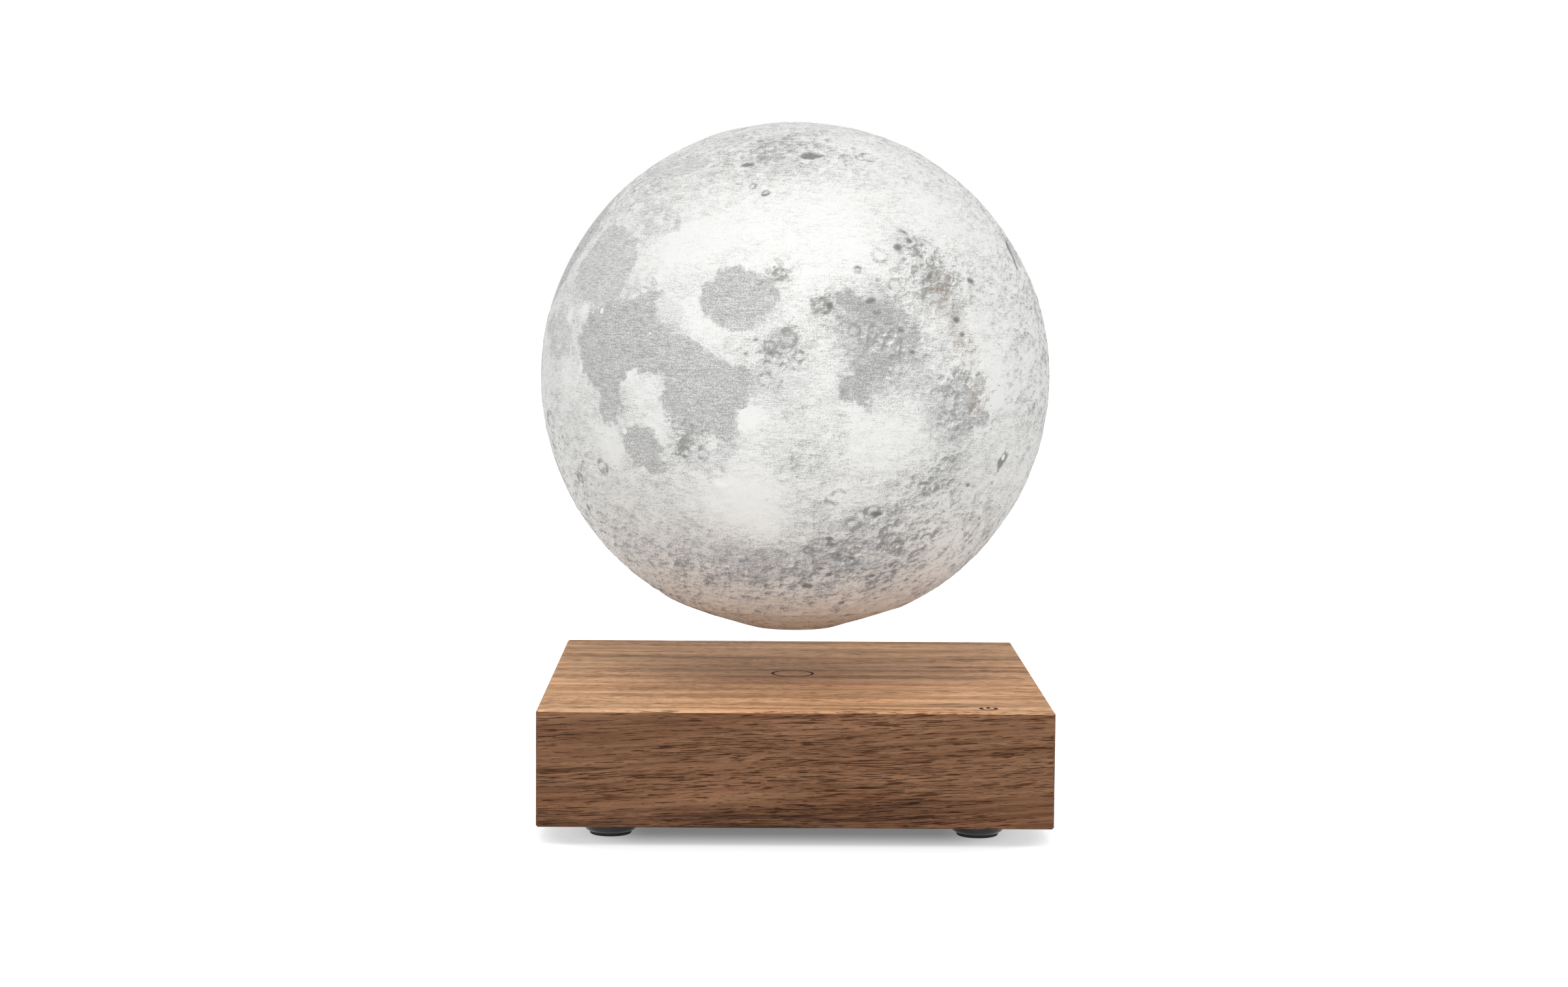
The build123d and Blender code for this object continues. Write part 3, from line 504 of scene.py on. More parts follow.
@dataclass(frozen=True)
class Walnut(Finish):
    """Oiled walnut with painted light: its top is painted lighter and more golden than its sides, for the
    light and sheen that fall on it.
    """

    name: str = "oiled walnut"
    pith_distance: float = 190.0
    slope: float = 0.045
    # Painted light: the sides take shaded colours and the top lit ones, two copies of one wood for how the
    # light falls
    dark_shaded_side: Colour = (0.07, 0.031, 0.0155)
    mid_shaded_side: Colour = (0.186, 0.09, 0.047)
    pale_shaded_side: Colour = (0.276, 0.144, 0.08)
    dark_lit_top: Colour = (0.42, 0.224, 0.106)
    mid_lit_top: Colour = (0.71, 0.394, 0.202)
    pale_lit_top: Colour = (0.89, 0.55, 0.305)
    pore: Colour = (0.27, 0.22, 0.19)
    # Painted glint colour of the bright strokes on the fibres
    gleam: Colour = (1.6, 1.52, 1.34)
    red_cast: Colour = (1.05, 0.97, 0.93)
    # Painted highlight: the colour that lightens the eased edges
    edge: Colour = (1.35, 1.38, 1.4)
    pore_share: float = 0.97
    # The fleck share is the share of the painted glints
    fleck_share: float = 0.5
    edge_highlight_share: float = 0.7
    gloss: float = 0.12
    relief: float = 0.05

    def write(self, nodes: Nodes, place: Socket, shader: Node) -> None:
        """Draws the figure, with open pores and a few painted glints, and paints a highlight on the eased
        edges.

        Args:
            nodes: The tree's writer.
            place: The coordinates in millimetres.
            shader: The shader to feed.
        """
        inputs = {"Place": place, "Pith Distance": self.pith_distance, "Slope": self.slope}
        figure = nodes.add("ShaderNodeGroup", inputs, node_tree=walnut_figure()).outputs
        tone = figure["Tone"]
        # Painted light: the top's ramp is lighter than the sides' for the light and sheen on the top
        side = nodes.ramp(tone, [(0.15, self.dark_shaded_side), (0.5, self.mid_shaded_side), (0.85, self.pale_shaded_side)])
        top = nodes.ramp(tone, [(0.15, self.dark_lit_top), (0.5, self.mid_lit_top), (0.85, self.pale_lit_top)])
        facing = nodes.add("ShaderNodeTexCoord").outputs["Normal"]
        up = nodes.parts(facing)[2]
        pores = nodes.times(figure["Pores"], self.pore_share)
        painted_glints = nodes.times(figure["Flecks"], self.fleck_share)
        # Painted highlight on the eased edges, between the top and the sides
        eased = nodes.times(nodes.span(up, 0.3, 0.6), nodes.span(up, 0.95, 0.8))
        eased = nodes.times(eased, self.edge_highlight_share)
        # Painted light: upward faces take the lit top's colours, the others the shaded sides'
        wood = nodes.mix(nodes.span(up, 0.55, 0.85), side, top)
        for share, cast in (
            (figure["Red"], self.red_cast), (pores, self.pore), (painted_glints, self.gleam), (eased, self.edge),
        ):
            wood = nodes.mix(share, wood, nodes.mix(1.0, wood, cast, "MULTIPLY"))
        nodes.feed(shader.inputs["Base Color"], wood)
        nodes.feed(shader.inputs["Roughness"], nodes.span(figure["Pores"], 0.0, 1.0, 0.58, 0.8))
        nodes.feed(shader.inputs["Specular IOR Level"], self.gloss)
        height = nodes.times_plus(tone, 0.25, nodes.math("SUBTRACT", 1.0, pores))
        nodes.feed(shader.inputs["Normal"], bump(nodes, height, self.relief))


@dataclass(frozen=True)
class BurntWood(Finish):
    """The brown-black floor of a burnt mark in the wood."""

    name: str = "burnt mark"
    char: Colour = (0.012, 0.008, 0.006)
    toasted: Colour = (0.05, 0.026, 0.015)
    relief: float = 0.04

    def write(self, nodes: Nodes, place: Socket, shader: Node) -> None:
        """Lets a little of the grain show through the char.

        Args:
            nodes: The tree's writer.
            place: The coordinates in millimetres.
            shader: The shader to feed.
        """
        figure = nodes.add("ShaderNodeGroup", {"Place": place}, node_tree=walnut_figure())
        soot = nodes.noise(place, (0.5, 0.12, 0.12), 3.0)
        nodes.feed(shader.inputs["Base Color"], nodes.mix(soot, self.char, self.toasted))
        nodes.feed(shader.inputs["Roughness"], nodes.span(soot, 0.3, 0.7, 0.7, 0.92))
        nodes.feed(shader.inputs["Normal"], bump(nodes, figure.outputs["Pores"], self.relief))


def crater_print(nodes: Nodes, place: Socket, cell: float, seed: float) -> Socket:
    """Prints scattered craters, above 0 on their shaded walls and below 0 on their lit ones.

    Args:
        nodes: The tree's writer.
        place: The coordinates in millimetres.
        cell: The mean distance of the craters, in millimetres.
        seed: Shifts the pattern.

    Returns:
        How dark the print is.
    """
    sun = (0.55, 0.0, -0.83)
    shift = (seed * 29.0, seed * 17.0, seed * 41.0)
    _, share, away = scattered(nodes, place, cell, shift, smallest=0.14, spread=0.3)
    inputs = {0: nodes.vector("NORMALIZE", away), 1: sun}
    facing = nodes.add("ShaderNodeVectorMath", inputs, operation="DOT_PRODUCT").outputs["Value"]
    lit = nodes.times_plus(facing, -0.8, 0.25)
    return nodes.times(nodes.curve(share, CRATER_WALL), lit)


class MoonField(Enum):
    """What the moon's skin carries at each of its points."""

    SEA = "sea"
    TONE = "tone"
    CRATER = "crater"
    SPOT = "spot"
    SHADE = "shade"
    WARMTH = "warmth"
    SCARS = "scars"


@dataclass(frozen=True)
class PrintPattern:
    """What the moon's print is drawn from: the skin's fields and the noises that break them up."""

    skin: dict[MoonField, Socket]
    grain: Socket
    fine: Socket
    mottle: Socket
    ragged: Socket
    rings: Socket


@dataclass(frozen=True)
class MoonPrint(Finish):
    """White printed moon, with grey seas and stippled highlands. Its lengths are in millimetres."""

    name: str = "moon print"
    highland: Colour = (0.855, 0.856, 0.838)
    grey_land: Colour = (0.64, 0.645, 0.655)
    stipple: Colour = (0.3, 0.3, 0.288)
    pale_sea: Colour = (0.8, 0.8, 0.79)
    dark_sea: Colour = (0.3, 0.3, 0.295)
    spot: Colour = (0.15, 0.15, 0.145)
    warm: Colour = (0.3, 0.25, 0.195)
    # Painted colour that cancels the walnut's warm bounce light on the globe's underside
    painted_cool_against_bounce: Colour = (0.235, 0.275, 0.345)
    grain_length: Lengths = (0.34, 0.34, 0.3)
    streak_length: Lengths = (2.6, 2.6, 0.34)
    mottle_length: Lengths = (4.6, 4.6, 3.0)
    patch_length: Lengths = (19.0, 19.0, 11.0)
    shore_length: Lengths = (3.6, 3.6, 3.2)
    grain_share: float = 2.0
    streak_share: float = 1.7
    mottle_share: float = 1.15
    patch_share: float = 0.6
    bare_level: float = 2.42
    crater_sets: tuple[tuple[float, float, float], ...] = (
        (7.4, 0.5, 3.0), (4.0, 0.6, 5.0), (2.3, 0.7, 7.0), (1.3, 0.5, 9.0),
    )
    relief: float = 0.1

    def pattern(self, nodes: Nodes, place: Socket) -> PrintPattern:
        """Reads the skin's fields and lays the noises over them.

        Args:
            nodes: The tree's writer.
            place: The coordinates in millimetres.

        Returns:
            The fields and noises.
        """
        skin = {}
        for key in MoonField:
            skin[key] = nodes.add("ShaderNodeAttribute", attribute_name=key.value).outputs["Fac"]
        grain = nodes.noise(place, self.grain_length, detail=1.0, rough=0.5)
        streaks = nodes.noise(place, self.streak_length, detail=4.0, rough=0.62)
        mottle = nodes.noise(place, self.mottle_length, detail=5.0, rough=0.64)
        ragged = nodes.noise(place, self.shore_length, detail=6.0, rough=0.62)
        fine = nodes.times(streaks, self.streak_share)
        fine = nodes.times_plus(grain, self.grain_share, fine)
        rings = nodes.curve(nodes.times(skin[MoonField.CRATER], 0.5), PLACED_WALL)
        rings = nodes.times(rings, nodes.span(mottle, 0.38, 0.62, 0.1, 0.9))
        return PrintPattern(skin, grain, fine, mottle, nodes.math("SUBTRACT", ragged, 0.5), rings)

    def land(self, nodes: Nodes, place: Socket, pattern: PrintPattern) -> tuple[Socket, Socket]:
        """Stipples the highlands, denser where the skin is grey and on the shaded walls of craters.

        Args:
            nodes: The tree's writer.
            place: The coordinates in millimetres.
            pattern: The fields and noises.

        Returns:
            The highlands' colour, and how much of them the stipple covers.
        """
        shade = pattern.skin[MoonField.SHADE]
        warmth = pattern.skin[MoonField.WARMTH]
        patches = nodes.noise(place, self.patch_length, detail=3.0, rough=0.6)
        dust = nodes.times_plus(pattern.mottle, self.mottle_share, pattern.fine)
        dust = nodes.times_plus(patches, self.patch_share, dust)
        dust = nodes.math("SUBTRACT", dust, self.bare_level)
        dust = nodes.times_plus(nodes.math("MAXIMUM", shade, -0.8), -0.32, dust)
        crowd = nodes.span(pattern.skin[MoonField.SCARS], 0.0, 1.0, 0.1, 1.0)
        walls = 0.0
        for cell, strength, seed in self.crater_sets:
            craters = nodes.times(crater_print(nodes, place, cell, seed), crowd)
            walls = nodes.times_plus(craters, strength, walls)
        dust = nodes.math("ADD", nodes.math("ADD", dust, walls), pattern.rings)
        cover = nodes.span(dust, -0.12, 1.5)
        tint = nodes.mix(nodes.span(warmth, 0.0, 1.0), self.stipple, self.warm)
        # Below 0, at the south pole only, the warmth is painted: a cool tint against the walnut's warm
        # bounce light
        tint = nodes.mix(nodes.span(warmth, 0.0, -1.0), tint, self.painted_cool_against_bounce)
        greyed = nodes.times(nodes.span(shade, -0.3, -1.3), nodes.span(walls, -0.3, -0.06))
        bare = nodes.mix(greyed, self.highland, self.grey_land)
        return nodes.mix(cover, bare, tint), cover

    def sea(self, nodes: Nodes, pattern: PrintPattern) -> Socket:
        """Tones the seas, each by its own field, with the same fine streaks as the land.

        Args:
            nodes: The tree's writer.
            pattern: The fields and noises.

        Returns:
            The seas' colour.
        """
        fine_middle, fine_share = 1.85, 0.85
        fine = nodes.math("SUBTRACT", pattern.fine, fine_middle)
        mottle = nodes.math("SUBTRACT", pattern.mottle, 0.5)
        tone = nodes.times_plus(fine, fine_share, pattern.skin[MoonField.TONE])
        tone = nodes.times_plus(mottle, 0.5, tone)
        tone = nodes.times_plus(pattern.rings, 0.5, tone)
        return nodes.mix(nodes.span(tone, -0.15, 1.15), self.pale_sea, self.dark_sea)

    def write(self, nodes: Nodes, place: Socket, shader: Node) -> None:
        """Joins land and sea at ragged shores and sets the dark spots on them.

        Args:
            nodes: The tree's writer.
            place: The coordinates in millimetres.
            shader: The shader to feed.
        """
        pattern = self.pattern(nodes, place)
        shade = pattern.skin[MoonField.SHADE]
        land, cover = self.land(nodes, place, pattern)
        shore = nodes.times_plus(pattern.ragged, 6.5, pattern.skin[MoonField.SEA])
        shore = nodes.times_plus(nodes.span(shade, 1.1, 2.2), -6.0, shore)
        plain = nodes.span(shore, -0.6, 0.6)
        surface = nodes.mix(plain, land, self.sea(nodes, pattern))
        spots = nodes.times_plus(pattern.ragged, 1.8, pattern.skin[MoonField.SPOT])
        spots = nodes.times_plus(nodes.span(shade, 1.0, 1.8), -3.0, spots)
        spots = nodes.times(nodes.span(spots, -0.3, 0.55), nodes.span(pattern.grain, 0.2, 0.6, 1.0, 0.8))
        nodes.feed(shader.inputs["Base Color"], nodes.mix(spots, surface, self.spot))
        nodes.feed(shader.inputs["Roughness"], nodes.span(pattern.grain, 0.2, 0.8, 0.55, 0.72))
        rough = nodes.math("SUBTRACT", pattern.mottle, cover)
        rough = nodes.times(rough, nodes.span(plain, 0.0, 1.0, 1.0, 0.3))
        height = nodes.math("ADD", rough, pattern.grain)
        nodes.feed(shader.inputs["Normal"], bump(nodes, height, self.relief))


FINISHES: dict[str, Finish] = {
    "walnut": Walnut(),
    "moon_print": MoonPrint(),
    "copper_winding": CopperWinding(),
    "circuit_board": CircuitBoard(),
    "black_plastic": PlainFinish(
        "black moulded plastic", (0.014, 0.014, 0.015), (0.022, 0.022, 0.023), 0.52,
        grain=(0.5,) * 3, relief=0.03,
    ),
    "black_screws": PlainFinish(
        "blacked steel screw", (0.03, 0.03, 0.032), (0.075, 0.072, 0.07), 0.38,
        metallic=1.0, relief=0.006,
    ),
    "steel_screws": PlainFinish(
        "zinc plated screw", (0.62, 0.63, 0.64), (0.48, 0.49, 0.5), 0.3,
        metallic=1.0, relief=0.006,
    ),
    "foot_cup": PlainFinish(
        "foot cup enamel", (0.02, 0.023, 0.022), (0.034, 0.038, 0.036), 0.24,
        coat=0.35, relief=0.006,
    ),
    "foot_rubber": PlainFinish(
        "foot rubber", (0.022, 0.019, 0.018), (0.04, 0.035, 0.032), 0.72,
        grain=(0.25,) * 3, relief=0.025,
    ),
    "chip_black": PlainFinish(
        "chip housing", (0.018, 0.018, 0.019), (0.03, 0.03, 0.031), 0.55,
        grain=(0.15,) * 3, relief=0.012,
    ),
    "capacitor_can": PlainFinish(
        "capacitor can", (0.6, 0.61, 0.63), (0.5, 0.51, 0.53), 0.33,
        metallic=0.9, grain=(0.2, 0.2, 0.9),
    ),
    "jack_body": PlainFinish(
        "jack housing", (0.013, 0.013, 0.014), (0.021, 0.021, 0.022), 0.36,
        grain=(0.3,) * 3, relief=0.012,
    ),
    "nickel_contact": PlainFinish(
        "nickel contact", (0.64, 0.6, 0.54), (0.52, 0.48, 0.42), 0.22,
        metallic=1.0, relief=0.004,
    ),
    "wire_insulation": PlainFinish(
        "wire insulation", (0.32, 0.02, 0.016), (0.22, 0.015, 0.012), 0.42,
        grain=(0.6,) * 3,
    ),
    "ferrite": PlainFinish(
        "ferrite", (0.06, 0.058, 0.057), (0.095, 0.09, 0.086), 0.62,
        grain=(0.35,) * 3, relief=0.03,
    ),
    "bobbin_nylon": PlainFinish(
        "bobbin nylon", (0.6, 0.58, 0.52), (0.52, 0.5, 0.44), 0.46,
        grain=(0.7,) * 3, relief=0.015,
    ),
    "core_steel": PlainFinish(
        "core steel", (0.42, 0.42, 0.43), (0.3, 0.29, 0.29), 0.4,
        metallic=1.0, grain=(0.15, 0.15, 1.2),
    ),
    "magnet_nickel": PlainFinish(
        "magnet nickel", (0.66, 0.65, 0.63), (0.55, 0.54, 0.52), 0.16,
        metallic=1.0, grain=(0.9,) * 3, relief=0.004,
    ),
    "brass_spacer": PlainFinish(
        "turned brass", (0.68, 0.47, 0.17), (0.52, 0.34, 0.11), 0.27,
        metallic=1.0, grain=(0.5, 0.5, 0.12), relief=0.008,
    ),
    "lamp_board_metal": PlainFinish(
        "lamp board resist", (0.74, 0.74, 0.72), (0.66, 0.66, 0.64), 0.38,
        grain=(0.5,) * 3, relief=0.008,
    ),
    "lamp_chip": PlainFinish(
        "lamp chip phosphor", (0.78, 0.62, 0.14), (0.7, 0.52, 0.1), 0.48,
        grain=(0.2,) * 3,
    ),
}


def link(name: str, data: bpy.types.ID) -> Piece:
    """Makes a linked object of a mesh, a camera or a light.

    Args:
        name: The object's name.
        data: The mesh, camera or light.

    Returns:
        The object.
    """
    obj = bpy.data.objects.new(name, data)
    bpy.context.scene.collection.objects.link(obj)
    return obj


def mesh_object(name: str, points: Array | list, faces: Array | list) -> Piece:
    """Makes a linked object from points and faces.

    Args:
        name: The object's name.
        points: The points, in metres.
        faces: The corners of each face.

    Returns:
        The object.
    """
    mesh = bpy.data.meshes.new(name)
    corners = faces.tolist() if isinstance(faces, Array) else faces
    mesh.from_pydata(np.asarray(points).tolist(), [], corners)
    mesh.update()
    return link(name, mesh)


def merged_copy(node: str, name: str) -> Piece:
    """Copies a frame node and joins its triangles at their corners.

    Args:
        node: The node.
        name: The copy's name.

    Returns:
        The copy.
    """
    obj = link(name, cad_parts[node].data.copy())
    shape = bmesh.new()
    shape.from_mesh(obj.data)
    bmesh.ops.remove_doubles(shape, verts=shape.verts, dist=MERGE_DISTANCE)
    shape.to_mesh(obj.data)
    shape.free()
    return obj


def face_outwards(obj: Piece) -> None:
    """Turns every face of a closed object outwards.

    Args:
        obj: The object.
    """
    shape = bmesh.new()
    shape.from_mesh(obj.data)
    bmesh.ops.recalc_face_normals(shape, faces=shape.faces)
    shape.to_mesh(obj.data)
    shape.free()


def evaluated(obj: Piece) -> bpy.types.Mesh:
    """Makes the mesh that an object has after its modifiers.

    Args:
        obj: The object.

    Returns:
        The mesh.
    """
    graph = bpy.context.evaluated_depsgraph_get()
    live = obj.evaluated_get(graph)
    return bpy.data.meshes.new_from_object(live, preserve_all_data_layers=True, depsgraph=graph)


def grow(obj: Piece, tree: Tree, values: dict[str, Setting]) -> None:
    """Runs Geometry Nodes on an object and keeps the result as its plain mesh.

    Args:
        obj: The object.
        tree: The node tree.
        values: What each named input gets.
    """
    modifier = obj.modifiers.new(tree.name, "NODES")
    modifier.node_group = tree
    for item in tree.interface.items_tree:
        if item.item_type == "SOCKET" and item.in_out == "INPUT" and item.name in values:
            modifier[item.identifier] = values[item.name]
    grown = evaluated(obj)
    obj.modifiers.clear()
    obj.data = grown


def hand_over(obj: Piece, body: Body, replaced: tuple[str, ...]) -> None:
    """Hands a dressed piece to the frame and reports it.

    Args:
        obj: The piece.
        body: The body that it rides on.
        replaced: The frame nodes that it stands for.
    """
    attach(obj, body.value)
    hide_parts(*replaced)
    log.info("%s: %d faces on %s", obj.name, len(obj.data.polygons), body.value)


def finished(obj: Piece, body: Body, slot: str, replaced: tuple[str, ...]) -> None:
    """Dresses a piece in its slot's finish and hands it to the frame.

    Args:
        obj: The piece.
        body: The body that it rides on.
        slot: The material slot that it takes its finish from.
        replaced: The frame nodes that it stands for.
    """
    obj.data.materials.clear()
    obj.data.materials.append(FINISHES[slot].material())
    hand_over(obj, body, replaced)


def edge_middles(angles: Array) -> Array:
    """Returns the angle half way along each edge of a ring."""
    return (angles + np.append(angles[1:], angles[0] + math.tau)) / 2.0


def stitch(upper: Array, lower: Array, upper_start: int, lower_start: int) -> Array:
    """Joins two rings of points with triangles that face away from the axis.

    Args:
        upper: The angles of the upper ring's points, rising.
        lower: The angles of the lower ring's points, rising.
        upper_start: The index of the upper ring's first point.
        lower_start: The index of the lower ring's first point.

    Returns:
        The triangles.
    """
    above, below = len(upper), len(lower)
    triangles = []
    if above > 1:
        start = np.arange(above)
        apex = np.zeros(above, int)
        if below > 1:
            apex = np.searchsorted(edge_middles(lower), edge_middles(upper)) % below
        after = upper_start + (start + 1) % above
        triangles.append(np.stack([after, upper_start + start, lower_start + apex], axis=1))
    if below > 1:
        start = np.arange(below)
        apex = np.zeros(below, int)
        if above > 1:
            apex = np.searchsorted(edge_middles(upper), edge_middles(lower), side="right") % above
        after = lower_start + (start + 1) % below
        triangles.append(np.stack([lower_start + start, after, upper_start + apex], axis=1))
    return np.concatenate(triangles)


@dataclass
class RingSkin:
    """A skin of rings round the vertical axis, from the top down, with triangles of about one size."""

    spacing: float
    points: list[Array] = field(default_factory=list)
    angles: list[Array] = field(default_factory=list)
    starts: list[int] = field(default_factory=list)

    def add(self, radius: float, height: float) -> None:
        """Adds a ring below the others, or a single point where the radius is 0.

        Args:
            radius: The ring's radius, in metres.
            height: Its height.
        """
        count = max(6, round(math.tau * radius / self.spacing)) if radius > 0.0 else 1
        turns = np.arange(count) * (math.tau / count)
        ring = np.stack([radius * np.cos(turns), radius * np.sin(turns), np.full(count, height)], axis=1)
        self.starts.append(sum(len(ring) for ring in self.points))
        self.points.append(ring)
        self.angles.append(turns)

    def triangles(self, first: int, last: int) -> Array:
        """Joins neighbouring rings.

        Args:
            first: The first ring, counted from the top.
            last: The last ring.

        Returns:
            The triangles between them.
        """
        belts = []
        for row in range(first, last):
            angles, starts = self.angles[row : row + 2], self.starts[row : row + 2]
            belts.append(stitch(*angles, *starts))
        return np.concatenate(belts)


@dataclass(frozen=True)
class Sea:
    """A dark plain, its outline in degrees on the moon's face. A low cover breaks it into patches."""

    outline: Outline
    tone: float = 0.45
    cover: float = 9.0


def oval(longitude: float, latitude: float, across: float, along: float, turn: float = 0.0) -> Outline:
    """Returns the outline of a plain that is known by its middle and its half widths, in degrees.

    Args:
        longitude: The middle's longitude.
        latitude: The middle's latitude.
        across: Half the width.
        along: Half the height.
        turn: How far it is turned, anticlockwise.

    Returns:
        The outline.
    """
    corners = 14
    cosine, sine = math.cos(math.radians(turn)), math.sin(math.radians(turn))
    shrink = math.cos(math.radians(latitude))
    points = []
    for step in range(corners):
        angle = math.tau * step / corners
        east, north = across * math.cos(angle), along * math.sin(angle)
        turned_east = (east * cosine - north * sine) / shrink
        points.append((longitude + turned_east, latitude + east * sine + north * cosine))
    return tuple(points)


@dataclass(frozen=True)
class Crater:
    """A crater with a grey wall, in degrees on the moon's face."""

    longitude: float
    latitude: float
    radius: float


@dataclass(frozen=True)
class Shade:
    """A wide patch that is brighter, above 0, or greyer, below 0."""

    longitude: float
    latitude: float
    radius: float
    amount: float


SERENITY = (
    (17, 36.1), (23.4, 34.4), (29, 31.5), (31.5, 27.9), (31.2, 25), (30.6, 21), (29.1, 16.7), (23, 15.6),
    (18, 16), (13.5, 17.2), (9.5, 19.6), (7.4, 23), (7.8, 28), (10.4, 32.6), (13, 35.2),
)
TRANQUILLITY = (
    (17.1, 11.5), (20.4, 13.6), (23.6, 15.6), (29, 17), (33.7, 16.6), (37, 18.4), (41.5, 18.2),
    (40.5, 15.2), (41.2, 12), (46, 10.2), (44, 7.6), (46.5, 6.8), (45.6, 4), (43.5, 1.2), (42.1, -0.2),
    (38.8, 0.2), (35.8, 0.7), (33.2, 0), (31.8, -1.5), (31.1, -3.9), (31.5, -7.5), (28.8, -10.2),
    (24.6, -9.3), (25.2, -6.6), (24.6, -3.4), (21.6, -1.2), (19.4, 1), (18.2, 4.6), (16.8, 8),
)
NECTAR = (
    (30.2, -11.5), (34.2, -10.5), (38.6, -11.2), (40.6, -13.6), (40.9, -17), (40.6, -20.9),
    (37.3, -21.6), (34.6, -19.8), (31.4, -18.6), (29.9, -15.6),
)
FERTILITY = (
    (46.4, 7.6), (50.5, 7.4), (52.6, 5), (54.6, 3), (57, 1.8), (61.5, 1.8), (63.2, -0.6), (63.5, -4),
    (62.4, -6.4), (59.6, -7.8), (58.6, -10), (59.2, -12.6), (57.8, -15.4), (54.6, -15.4), (53.6, -13.4),
    (50, -13.1), (46.6, -11.6), (43.6, -8.6), (41.3, -6.1), (42.8, -3.4), (42.8, -0.8), (44.6, 1.8),
    (44.2, 4.8),
)
ROUND_SEA = (
    (51.4, 19), (53.6, 20.9), (56.6, 22.2), (60, 22.6), (63.4, 21.6), (66.4, 19.6), (68.8, 17),
    (68.8, 14.2), (66.4, 12.6), (65, 11), (62.4, 9.4), (58.4, 9), (55, 10.2), (52.8, 12), (50.8, 14.4),
    (51, 16.8),
)
BORDER_SEA = (
    (80.8, 16.2), (83.6, 17.8), (85.8, 16.4), (87.2, 14), (90.5, 14), (94.8, 13), (95.6, 11.4),
    (94, 9.8), (91, 9.4), (88.2, 9.8), (85.6, 10.8), (83.2, 11.2), (80.8, 9.8), (80.2, 11.6), (82, 13.2),
    (80.6, 14.6),
)
EASTERN_SEA = (
    (84.8, 3.4), (87, 4.3), (91.5, 3.8), (92.4, 1.6), (92.2, -0.8), (90.6, -2.2), (88.2, -2.8),
    (87.4, -4.8), (88.4, -7.2), (87.4, -8.2), (84, -7.7), (81.8, -6), (80.5, -3.6), (81.4, -0.8),
    (84.6, 0.2), (84.2, 2),
)
COLD_SEA = (
    (2, 53.6), (10, 54.8), (20, 55.6), (30, 56.4), (38, 55.6), (41, 52.6), (36, 50.2), (27, 49.4),
    (18, 50.6), (8, 50.8),
)
WESTERN_COLD_SEA = (
    (3, 57.6), (-8, 59.6), (-22, 59.8), (-36, 57.4), (-46, 54), (-44, 51.4), (-33, 53.2), (-22, 55),
    (-10, 55.4), (-2, 53.8), (3, 54.6),
)
SHOWERS = (
    (2.5, 27.5), (4.5, 31), (6, 35.5), (3.5, 40.5), (-1, 44.5), (-6, 48.4), (-13, 49.4), (-21, 48.4),
    (-26, 46.4), (-31, 47.4), (-36, 44.4), (-36.5, 40), (-38.5, 34), (-38, 27), (-34.5, 20.5),
    (-28, 17.2), (-22, 15.6), (-15.5, 14.8), (-10.5, 16.6), (-5, 19.4), (-0.5, 23.4),
)
STORMS = (
    (-38, 31), (-41.5, 38), (-45, 43.6), (-52, 47.8), (-60, 46.2), (-65.6, 40), (-68.4, 33), (-70.4, 24),
    (-68, 17), (-66.4, 9), (-61.6, 2.2), (-58.6, -4), (-53.4, -9), (-47, -11.4), (-42.4, -7.4),
    (-38, -12), (-31.6, -9.4), (-31, -3), (-31.6, 3.4), (-29.6, 9), (-33.4, 13), (-36.4, 20),
    (-39.6, 26),
)
ISLANDS = (
    (-33, 12.4), (-28, 9), (-24.6, 5.2), (-19.4, 4.6), (-15, 6.4), (-10.6, 8.8), (-7.6, 5), (-10.4, 0.4),
    (-15, -1.4), (-20, -4.4), (-27, -5.4), (-33, -2.6),
)
CLOUDS = (
    (-30.4, -7.4), (-25, -5.6), (-20.4, -9.4), (-15, -10.6), (-10.4, -14.6), (-6.6, -18.4), (-7.6, -24),
    (-11.4, -28.4), (-17.6, -29.6), (-23, -26.6), (-27.4, -21.4), (-28.4, -16), (-32.4, -12),
)
MOISTURE = (
    (-39, -17.6), (-34.6, -19.4), (-32.8, -23.6), (-35.4, -28.6), (-40.6, -30.4), (-45.2, -27.4),
    (-46.4, -22), (-43.2, -18.4),
)

